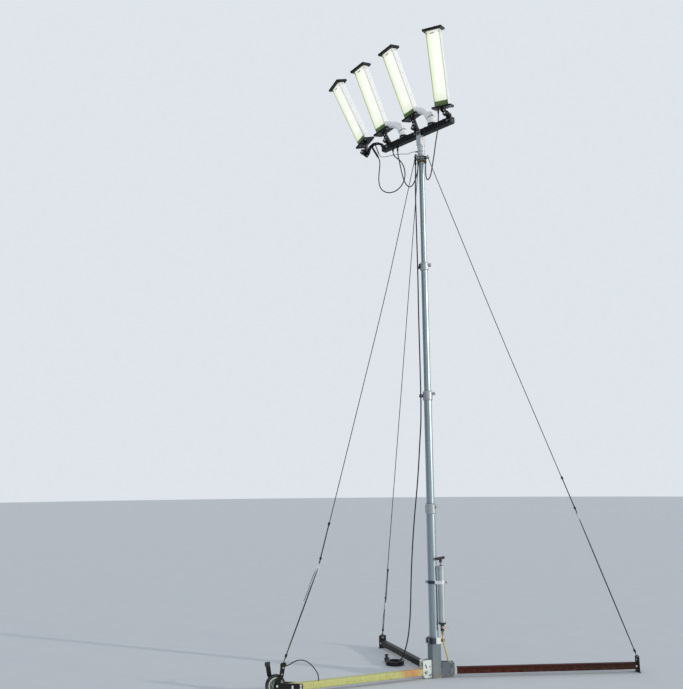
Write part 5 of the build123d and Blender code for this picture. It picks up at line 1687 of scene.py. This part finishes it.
@dataclass
class Collar(Assembly):
    """One lock collar: its lug's bolt and knob, grub screws, bands and the wiper at its top."""

    number: int
    low: float
    high: float
    tube: float
    inner: float
    body: str = "base"

    def build(self) -> None:
        """Dress the collar. The lowest one's knob is pale and on the other side of its lug."""
        low, high, rim, name = self.low, self.high, self.tube + 0.008, f"collar_{self.number}"
        side = -1 if self.number == 1 else 1
        lug, inward = spun(-12) @ shifted(rim + 0.01, 0, high - 0.022), spun(-90 * side, "X")
        steel, grip, bands, wiper = Solid(), Solid(smooth=45, bevel=0.0006), Solid(), Solid(smooth=45)
        steel.bolt(lug @ shifted(0, -0.011 * side) @ inward.inverted(), 0.0048)
        steel.turned(lug @ shifted(0, 0.011 * side) @ inward, [
            (0.0082, -0.0004), (0.0085, 0.0008), (0.005, 0.0014), (0.005, 0.008), (0.0046, 0.009)], 20)
        for out in map(heading, (70, 160, 250)):
            for level in (low + 0.018, high - 0.018):
                steel.screw(frame_at(out * (rim - 0.0004) + UP * level, out), 0.0036, 0.0026)
        knob = lug @ shifted(0, 0.0195 * side) @ inward
        grip.turned(knob, [
            (0.0085, 0.0), (0.0105, 0.002), (0.0105, 0.009), (0.0085, 0.0115), (0.002, 0.0118)], 24)
        for lobe in range(6):
            grip.block(knob @ spun(60 * lobe), (0.005, 0.006, 0.0085), (0.0115, 0, 0.0058), 0.0012)
        bands.washer(shifted(0, 0, low + 0.046), rim - 0.001, rim + 0.0009, -0.002, 0.002, 56, 0.0006)
        bands.washer(shifted(0, 0, low + 0.01), rim - 0.001, rim + 0.0007, -0.0014, 0.0014, 56, 0.0005)
        wiper.washer(shifted(0, 0, high), self.inner + 0.0003, rim - 0.0075, -0.0006, 0.0026, 48, 0.001)
        self.place(steel, f"{name}_screws")
        finish = "rivet_pale" if side < 0 else "black_plastic"
        self.place(grip, f"{name}_lock_knob", finish, slot="black_plastic")
        self.place(bands, f"{name}_bands", "collar_cast_metal")
        self.place(wiper, f"{name}_wiper_ring", "seam_rubber")

    def cam_lever(self) -> None:
        """Add the cam lever on the collar's left."""
        cam = Solid(bevel=0.001)
        frame = spun(186) @ shifted(self.tube + 0.012, 0, self.low + 0.036)
        cam.block(frame, (0.012, 0.02, 0.044), corner=0.002)
        cam.block(frame, (0.006, 0.014, 0.03), (0.008, 0, -0.012), 0.0015)
        self.place(cam, f"collar_{self.number}_cam_lever", "black_plastic")


@dataclass
class Mast(Assembly):
    """The four tubes, their three lock collars and the cable's clip."""

    def build(self) -> None:
        """Dress the tubes and their collars."""
        self.shop.dress("mast_tube_metal", *(f"mast_section_{number}" for number in (1, 2, 3, 4)))
        self.shop.dress("collar_cast_metal", *(f"lock_collar_{number}" for number in (1, 2, 3)))
        self.shop.dress("black_plastic", "cable_clip")
        collars = (Collar(self.shop, 1, 1.3, 1.38, 0.0375, 0.0335),
                   Collar(self.shop, 2, 2.25, 2.33, 0.0335, 0.029, "section_2"),
                   Collar(self.shop, 3, 3.4, 3.47, 0.029, 0.025, "section_3"))
        for collar in collars:
            collar.build()
        collars[-1].cam_lever()
        clip = Solid()
        for side in (1, -1):
            clip.screw(frame_at(Vector((-0.0705, 0.004 + 0.0055 * side, 2.29)), -EAST), 0.0022, 0.002)
        clip.bolt(frame_at(Vector((-0.054, -0.006, 2.29)), -NORTH), 0.0026)
        self.place(clip, "clip_screws", body="section_2")


@dataclass
class Foot(Assembly):
    """Base post, clamp, brackets and legs: welds, bolts, jaws, sleeves and end hardware."""

    clamp_middle: float = 0.286
    clamp_high: float = 0.31
    leg_middle: float = 0.05
    cheek: float = 0.029
    # For the left, the back and the right leg
    weld_tops: tuple[float, ...] = (0.142, 0.128, 0.118)
    brackets: tuple[float, ...] = (0.122, 0.112, 0.158)

    def build(self) -> None:
        """Dress the foot and the three legs."""
        for finish, *nodes in (
            ("post_paint", "base_post"), ("clamp_paint_and_left_shade", "base_clamp"), ("bracket_zinc", "leg_brackets"),
            ("left_leg_sunlit_paint", "left_leg"), ("right_leg_shaded_paint", "right_leg"), ("back_leg_shaded_paint", "back_leg"),
            ("black_plastic", "base_clamp_knob"), ("bolt_steel", "leg_bolts"),
            ("black_paint", "leg_end_plates", "left_fork"),
        ):
            self.shop.dress(finish, *nodes)
        self.clamp()
        self.welds()
        self.bracket_hardware()
        self.sleeve()
        self.leg_ends()

    def clamp(self) -> None:
        """Black shoe on the clamp's left, bolts in its corners and the screw under the knob."""
        turn, edge, middle = spun(POST_TURN), POST_HALF + 0.004, self.clamp_middle
        shoe, bolts, cap = Solid(turn, smooth=35, bevel=0.0012), Solid(turn), Solid(turn, smooth=50)
        shoe.block(Matrix(), (0.016, 0.07, 0.042), (-edge - 0.007, 0, middle), 0.004)
        for x in (-0.0354, 0.0354):
            for y in (-0.0354, 0.0354):
                bolts.screw(frame_at(Vector((x, y, self.clamp_high)), UP), 0.0045, 0.0035)
        for level in (middle - 0.011, middle + 0.011):
            for y in (0.022, -0.022):
                bolts.bolt(frame_at(Vector((-edge - 0.015, y, level)), -EAST), 0.0036)
        bolts.bolt(frame_at(Vector((0.059, 0.015, middle)), NORTH), 0.005)
        for level in (middle - 0.014, middle + 0.014):
            bolts.screw(frame_at(Vector((0.0705, -0.015, level)), -NORTH), 0.003, 0.0024)
        cap.turned(frame_at(Vector((0.0625, -0.0412, middle)), -NORTH),
                   [(0.006, -0.001), (0.006, 0.001), (0.0045, 0.0022), (0.0008, 0.0026)], 20)
        self.place(shoe, "clamp_black_shoe", "clamp_black_metal")
        self.place(bolts, "clamp_bolts")
        self.place(cap, "clamp_knob_cap", "rivet_pale")

    def welds(self) -> None:
        """Weld beads where the cheeks meet the post."""
        beads, rng, edge, steps = Solid(smooth=70), Random(3), self.cheek + 0.0002, 45
        for leg, top in zip(Leg, self.weld_tops):
            normal = max((heading(POST_TURN + 90 * turn) for turn in range(4)), key=leg.way.dot)
            for side in (edge, -edge):
                reach = (POST_HALF + 0.0008 - side * leg.side.dot(normal)) / leg.way.dot(normal)
                line = [leg.at(reach, 0.01 + (top - 0.016) * step / steps, side)
                        + leg.side * rng.uniform(-0.0003, 0.0003) for step in range(steps + 1)]
                beads.swept(line, lambda share: 0.0024 + 0.0006 * sin(share * 190), 8)
        self.place(beads, "bracket_welds", "bracket_zinc")

    def bracket_hardware(self) -> None:
        """Washers, split pins and spare bolts of the brackets."""
        parts, pins = Solid(), Solid(smooth=60)
        angles, ring, wire = [2 * pi * step / 22 for step in range(21)], 0.007, 0.0009
        for leg, reach in zip(Leg, self.brackets):
            hole = reach - 0.026
            for side in (1, -1):
                cheek = side * self.cheek
                washer, nut = (leg.face(hole, self.leg_middle, far) for far in (cheek, cheek + side * 0.008))
                parts.washer(washer, 0.0062, 0.0142, -0.0004, 0.0015, 28, 0.0005)
                parts.turned(nut, [(0.0062, -0.001), (0.0062, 0.0006), (0.0054, 0.0014), (0.001, 0.0016)], 20)
                for along, level in ((0.052, 0.03), (reach - 0.06, 0.024)):
                    parts.bolt(leg.face(along, level, cheek), 0.0034)
            hang = leg.at(hole, self.leg_middle, 0.0405)
            pins.swept([hang + leg.way * (ring * sin(a)) + UP * (ring * cos(a) - ring) for a in angles],
                       wire, 8)
        self.place(parts, "bracket_washers")
        self.place(pins, "bracket_split_rings")

    def sleeve(self) -> None:
        """The right leg's pale sleeve at its root, and the small plate on the left leg."""
        sleeve, plate = Solid(smooth=35, bevel=0.0012), Solid(smooth=30)
        frame = frame_at(Leg.RIGHT.at(0.1655, self.leg_middle), Leg.RIGHT.way, UP)
        for shift, size, long in ((0.0, 0.0545, 0.013), (0.009, 0.0525, 0.005)):
            wall = (size - 0.0502) / 2
            middle = (size - wall) / 2
            for y in (middle, -middle):
                sleeve.block(frame, (size, wall, long), (0, y, shift), 0.0002)
            for x in (middle, -middle):
                sleeve.block(frame, (wall, size, long), (x, 0, shift), 0.0002)
        plate.prism(frame_at(Leg.LEFT.at(0.44, self.leg_middle, 0.0252), Leg.LEFT.side, UP),
                    [(-0.009, -0.022), (0.009, -0.022), (0.009, 0.022), (-0.009, 0.022)], -0.0001, 0.0003)
        self.place(sleeve, "right_leg_root_sleeve", "rivet_pale", slot="bracket_zinc")
        self.place(plate, "leg_inspection_plate", "inspection_label")

    def leg_ends(self) -> None:
        """Bolts on the end plates, the pads over the wheel and the fork's bolts."""
        bolts, pads, left = Solid(), Solid(smooth=35, bevel=0.0012), Leg.LEFT
        for leg in (Leg.BACK, Leg.RIGHT):
            reach, thick, eye = leg.reach, 0.01, 0.102
            for side in (1, -1):
                for level in (self.leg_middle - 0.017, self.leg_middle + 0.017):
                    bolts.bolt(frame_at(leg.at(reach + thick, level, side * 0.019), leg.way), 0.0042)
                bolts.bolt(leg.face(reach - 0.014, self.leg_middle, side * 0.025), 0.0036)
            for along, way in ((reach + thick, leg.way), (reach, -leg.way)):
                frame = frame_at(leg.at(along, eye), way, UP)
                bolts.washer(frame, 0.0072, 0.0112, -0.0004, 0.0018, 28, 0.0006)
            tip = frame_at(leg.at(reach + thick / 2, 0.0), leg.way, UP)
            pads.block(tip, (0.006, 0.074, 0.022), (0.003, 0, 0), 0.002)
        for side in (1, -1):
            plate = side * 0.033
            for along, level in ((1.17, 0.04), (1.17, 0.06), (1.236, 0.042), (1.236, 0.058)):
                bolts.bolt(left.face(along, level, plate), 0.0042)
            bolts.screw(left.face(WHEEL_AT + side * 0.05, 0.2, plate), 0.0055, 0.005)
            bolts.screw(left.face(WHEEL_AT + side * 0.04, 0.155, plate), 0.0045, 0.004)
            bolts.turned(left.face(WHEEL_AT, WHEEL_RADIUS, side * 0.0408),
                         [(0.0085, -0.0004), (0.0085, 0.003), (0.0066, 0.0052), (0.001, 0.006)], 24)
        frame = frame_at(left.at(WHEEL_AT + 0.0535, 0.222, 0.029), UP, left.way)
        pads.block(frame, (0.04, 0.0135, 0.03), (0, 0, 0.002), 0.003)
        self.place(bolts, "leg_end_bolts", "rivet_pale")
        self.place(pads, "leg_end_pads", "black_plastic")


@dataclass
class Wheel(Assembly):
    """The transport wheel: hub caps, bolts and ridges on its tread."""

    body = "wheel"
    face: float = 0.01
    bolt_circle: float = 0.036
    tread: float = 0.075

    def build(self) -> None:
        """Dress the wheel."""
        self.shop.dress("wheel_rubber", "transport_wheel")
        hub, bolts, ridges, leg = Solid(smooth=45), Solid(), Solid(smooth=45), Leg.LEFT
        for side in (1, -1):
            frame = frame_at(leg.at(WHEEL_AT, WHEEL_RADIUS, side * self.face), leg.side * side, UP)
            hub.washer(frame, 0.0162, 0.0262, -0.0006, 0.0036, 36, 0.0012)
            hub.washer(frame, 0.05, 0.0562, -0.0006, 0.0022, 48, 0.0009)
            for turn in range(5):
                bolts.bolt(frame @ spun(72 * turn) @ shifted(self.bolt_circle), 0.0032)
        middle = frame_at(leg.at(WHEEL_AT, WHEEL_RADIUS), leg.side, UP)
        for low in (-0.0092, -0.004, 0.0012, 0.0064):
            ridges.washer(middle, self.tread, self.tread + 0.00185, low, low + 0.0028, 72, 0.0006)
        self.place(hub, "wheel_hub_rings", "bracket_zinc", slot="wheel_rubber")
        self.place(bolts, "wheel_bolts")
        self.place(ridges, "wheel_tread_ridges", "cable_rubber", slot="wheel_rubber")


@dataclass
class Pump(Assembly):
    """The hand pump: barrel bands, clamp lugs, cap screws, rod seal, valve fittings and handle ends."""

    radius: float = 0.0275
    low: float = 0.43
    top: float = 0.862
    clamp: float = 0.746
    handle_height: float = 0.938
    handle_turn: float = 57.0

    @property
    def axis(self) -> Matrix:
        """Frame at the foot of the pump's axis."""
        return Matrix.Translation(PUMP)

    def build(self) -> None:
        """Dress the pump."""
        for finish, *nodes in (
            ("pump_metal", "pump_barrel", "pump_top_cap"), ("clamp_paint_and_left_shade", "pump_clamp"),
            ("bolt_steel", "pump_plunger"), ("clamp_black_metal", "pump_valve"),
            ("black_plastic", "pump_handle", "hose_boss"), ("lever_plastic", "valve_lever"),
        ):
            self.shop.dress(finish, *nodes)
        bands = Solid()
        for level, reach, tall in ((self.low + 0.006, 0.0012, 0.008), (self.low + 0.02, 0.0006, 0.003),
                                   (self.top - 0.01, 0.001, 0.008), (0.64, 0.0005, 0.003)):
            bands.washer(self.axis @ shifted(0, 0, level), self.radius - 0.0008, self.radius + reach,
                         -tall / 2, tall / 2, 48, 0.0004)
        self.place(bands, "pump_barrel_bands", "collar_cast_metal", slot="pump_metal")
        self.clamp_lugs()
        self.cap()
        self.valve()
        self.handle()

    def clamp_lugs(self) -> None:
        """Ears at both ends of the strap clamp, with their screws."""
        ears, bolts, way = Solid(smooth=35, bevel=0.0008), Solid(), PUMP.normalized()
        for centre, out in ((way * -0.0415, -way), (PUMP + way * 0.0315, way)):
            centre = centre + UP * self.clamp
            frame, across = frame_at(centre + out * 0.008, UP, out), out.cross(UP)
            for side in (1, -1):
                ears.block(frame, (0.02, 0.0035, 0.024), (0, side * 0.0035, 0), 0.001)
                bolts.bolt(frame_at(centre + out * 0.011 + across * (side * 0.0052), across * side), 0.0032)
        self.place(ears, "pump_clamp_ears", "clamp_bright_metal")
        self.place(bolts, "pump_clamp_bolts")

    def cap(self) -> None:
        """Screws on the top cap and the seal round the rod."""
        screws, seal = Solid(), Solid(smooth=45)
        for turn in range(4):
            out = heading(35 + 90 * turn)
            screws.screw(frame_at(PUMP + out * 0.0208 + UP * (self.top + 0.016), UP), 0.003, 0.0024)
            screws.screw(frame_at(PUMP + out * 0.0294 + UP * (self.top + 0.007), out), 0.0026, 0.0018)
        over = self.axis @ shifted(0, 0, self.top + 0.016)
        seal.washer(over, 0.0064, 0.0115, -0.0005, 0.0042, 28, 0.0014)
        self.place(screws, "pump_cap_screws")
        self.place(seal, "pump_rod_seal", "seam_rubber")

    def valve(self) -> None:
        """Bands and the brass nipple of the valve, hose clamps and the boss's fitting."""
        brass, steel, ridges, screw = Solid(), Solid(), Solid(), Solid(smooth=45)
        axis, boss = self.axis, Matrix.Translation(Leg.RIGHT.at(0.112, 0.075))
        brass.hexagon(axis, 0.0105, 0.35, 0.3626).washer(axis, 0.0062, 0.0086, 0.338, 0.351, 24, 0.0008)
        brass.hexagon(boss, 0.0135, 0.0205, 0.0285)
        for level in (0.369, 0.404):
            ridges.washer(axis, 0.0145, 0.0161, level - 0.003, level + 0.003, 36, 0.0008)
        for angle in range(0, 360, 20):
            ridges.block(axis @ spun(angle), (0.0016, 0.0024, 0.012), (0.0294, 0, 0.422), 0.0003)
        for frame, level, x, y in ((axis, 0.33, 0.0088, 0), (boss, 0.038, 0, -0.0088)):
            steel.washer(frame, 0.006, 0.0074, level - 0.004, level + 0.004, 28, 0.0004)
            steel.block(frame, (0.007, 0.009, 0.0075), (x, y, level), 0.001)
        screw.bolt(frame_at(PUMP + Vector((0, -0.0273, 0.392)), -NORTH), 0.0036)
        self.place(brass, "hose_brass_fittings", "brass")
        self.place(steel, "hose_clamps")
        self.place(ridges, "valve_ridges", "clamp_black_metal")
        self.place(screw, "lever_screw", body="lever")

    def handle(self) -> None:
        """End buttons, grip rings and the nut under the T handle."""
        rings, nut, centre = Solid(smooth=45), Solid(), PUMP + UP * self.handle_height
        for way in (heading(self.handle_turn), -heading(self.handle_turn)):
            for step in range(7):
                frame = frame_at(centre + way * (0.017 + 0.0062 * step), way)
                rings.washer(frame, 0.0105, 0.0118, -0.0015, 0.0015, 28, 0.0006)
            rings.turned(frame_at(centre + way * 0.0645, way),
                         [(0.0062, -0.001), (0.0062, 0.001), (0.004, 0.002), (0.001, 0.0022)], 20)
        nut.hexagon(self.axis, 0.0105, 0.902, 0.909)
        nut.washer(self.axis, 0.0058, 0.0112, 0.8995, 0.9022, 24, 0.0006)
        self.place(rings, "handle_grip_rings", "black_plastic", body="pump_plunger_body")
        self.place(nut, "handle_lock_nut", body="pump_plunger_body")


@dataclass
class Studio:
    """The pale floor and background, the lights and the photograph's camera."""

    focal: float = 800.0
    width: int = 683
    sensor: float = 36.0
    place: Point = (-0.736, -6.852, 1.6)
    pitch: float = 9.474
    roll: float = -0.5

    def build(self) -> None:
        """Set up the stage."""
        self.floor()
        self.world()
        self.lights()
        self.camera()
        bpy.context.scene.view_settings.view_transform = "Standard"

    @staticmethod
    def floor() -> None:
        """A wide pale floor that fades into the background and keeps the shadow."""
        mesh = bmesh.new()
        bmesh.ops.create_circle(mesh, cap_ends=True, segments=96, radius=60)
        data = bpy.data.meshes.new("pale_floor")
        mesh.to_mesh(data)
        mesh.free()
        floor = linked("pale_floor", data)
        floor.location.z = -0.0012
        material = bpy.data.materials.new("floor_pale_grey")
        material.use_nodes = True
        graph, shader = Graph(material.node_tree), material.node_tree.nodes["Principled BSDF"]
        colour = graph.blend(graph.noise(graph.spot(), 3.0, 4.0), "cfd3d6", "d6dadc")
        graph.tree.links.new(colour, shader.inputs["Base Color"])
        shader.inputs["Roughness"].default_value = 0.9
        data.materials.append(material)

    @staticmethod
    def world() -> None:
        """A soft sky that is seen as nearly white, and darker on the side away from the sun."""
        world = bpy.data.worlds.new("soft_sky")
        bpy.context.scene.world = world
        world.use_nodes = True
        world.node_tree.nodes.clear()
        graph = Graph(world.node_tree)
        soft = graph.add("Background", {"Color": (0.84, 0.9, 1.0, 1.0), "Strength": 0.62})
        way = graph.add("TexCoord").outputs["Generated"]
        away = graph.vector("DOT_PRODUCT", way, (-0.75, -0.66, 0.0), result="Value")
        pale = graph.blend(graph.spread(away, 0.1, 0.8), (0.8, 0.85, 0.9, 1.0), (0.15, 0.19, 0.25, 1.0))
        seen = graph.add("Background", {"Color": pale, "Strength": 0.92})
        rays = graph.add("LightPath").outputs
        sight = graph.maths("MAXIMUM", rays["Is Camera Ray"], rays["Is Glossy Ray"])
        sight = graph.maths("MAXIMUM", sight, rays["Is Transmission Ray"])
        mix = graph.add("MixShader", {0: sight, 1: soft.outputs[0], 2: seen.outputs[0]})
        graph.add("OutputWorld", {0: mix.outputs[0]})

    @staticmethod
    def lights() -> None:
        """A low sun from the right, slightly behind the camera, and a faint fill from the left."""
        for name, power, way, size, colour in (
            ("low_sun", 1.7, Vector((-0.87, 0.4, -0.2)), 1.2, (1.0, 0.95, 0.87)),
            ("sky_fill", 0.3, Vector((0.3, 0.9, -0.35)), 40.0, (0.9, 0.95, 1.0)),
        ):
            light = bpy.data.lights.new(name, "SUN")
            light.energy, light.angle, light.color = power, radians(size), colour
            linked(name, light).rotation_euler = way.to_track_quat("-Z", "Y").to_euler()

    def camera(self) -> None:
        """The camera from which the photograph was taken."""
        view = bpy.data.cameras.new("eye_height_camera")
        view.sensor_fit, view.sensor_width = "HORIZONTAL", self.sensor
        view.lens = self.focal * self.sensor / self.width
        view.clip_end = 200
        pitch, roll = radians(self.pitch), radians(self.roll)
        upright, ahead = Vector((0, -sin(pitch), cos(pitch))), Vector((0, cos(pitch), sin(pitch)))
        across, up = EAST * cos(roll) + upright * sin(roll), EAST * -sin(roll) + upright * cos(roll)
        camera = linked("eye_height_camera", view)
        camera.matrix_world = shifted(*self.place) @ Matrix((across, up, -ahead)).transposed().to_4x4()
        bpy.context.scene.camera = camera


def main() -> None:
    """Dress the mast, part by part, and report each one."""
    logging.basicConfig(level=logging.INFO, format="%(name)s: %(message)s")
    shop = Workshop()
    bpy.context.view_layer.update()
    Studio().build()
    for assembly in (
        Cabling(shop),
        PowerLine(shop),
        GuyLine(shop, Leg.LEFT, (0.394, 3.11), (1.014, 0.907), 0.3276, 0.236),
        GuyLine(shop, Leg.BACK, (0.56, 2.52), (1.121, 0.4), 0.3459, 0.118),
        GuyLine(shop, Leg.RIGHT, (0.65, 2.852), (1.263, 1.262), 0.3459, 0.118),
        *(BoxLamp(shop, index) for index in range(4)),
        Crossbar(shop),
        MastHead(shop),
        Mast(shop),
        Foot(shop),
        Wheel(shop),
        Pump(shop),
    ):
        assembly.build()
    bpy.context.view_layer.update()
    log.info("%d pieces added", shop.pieces)


if __name__ == "__main__":
    main()
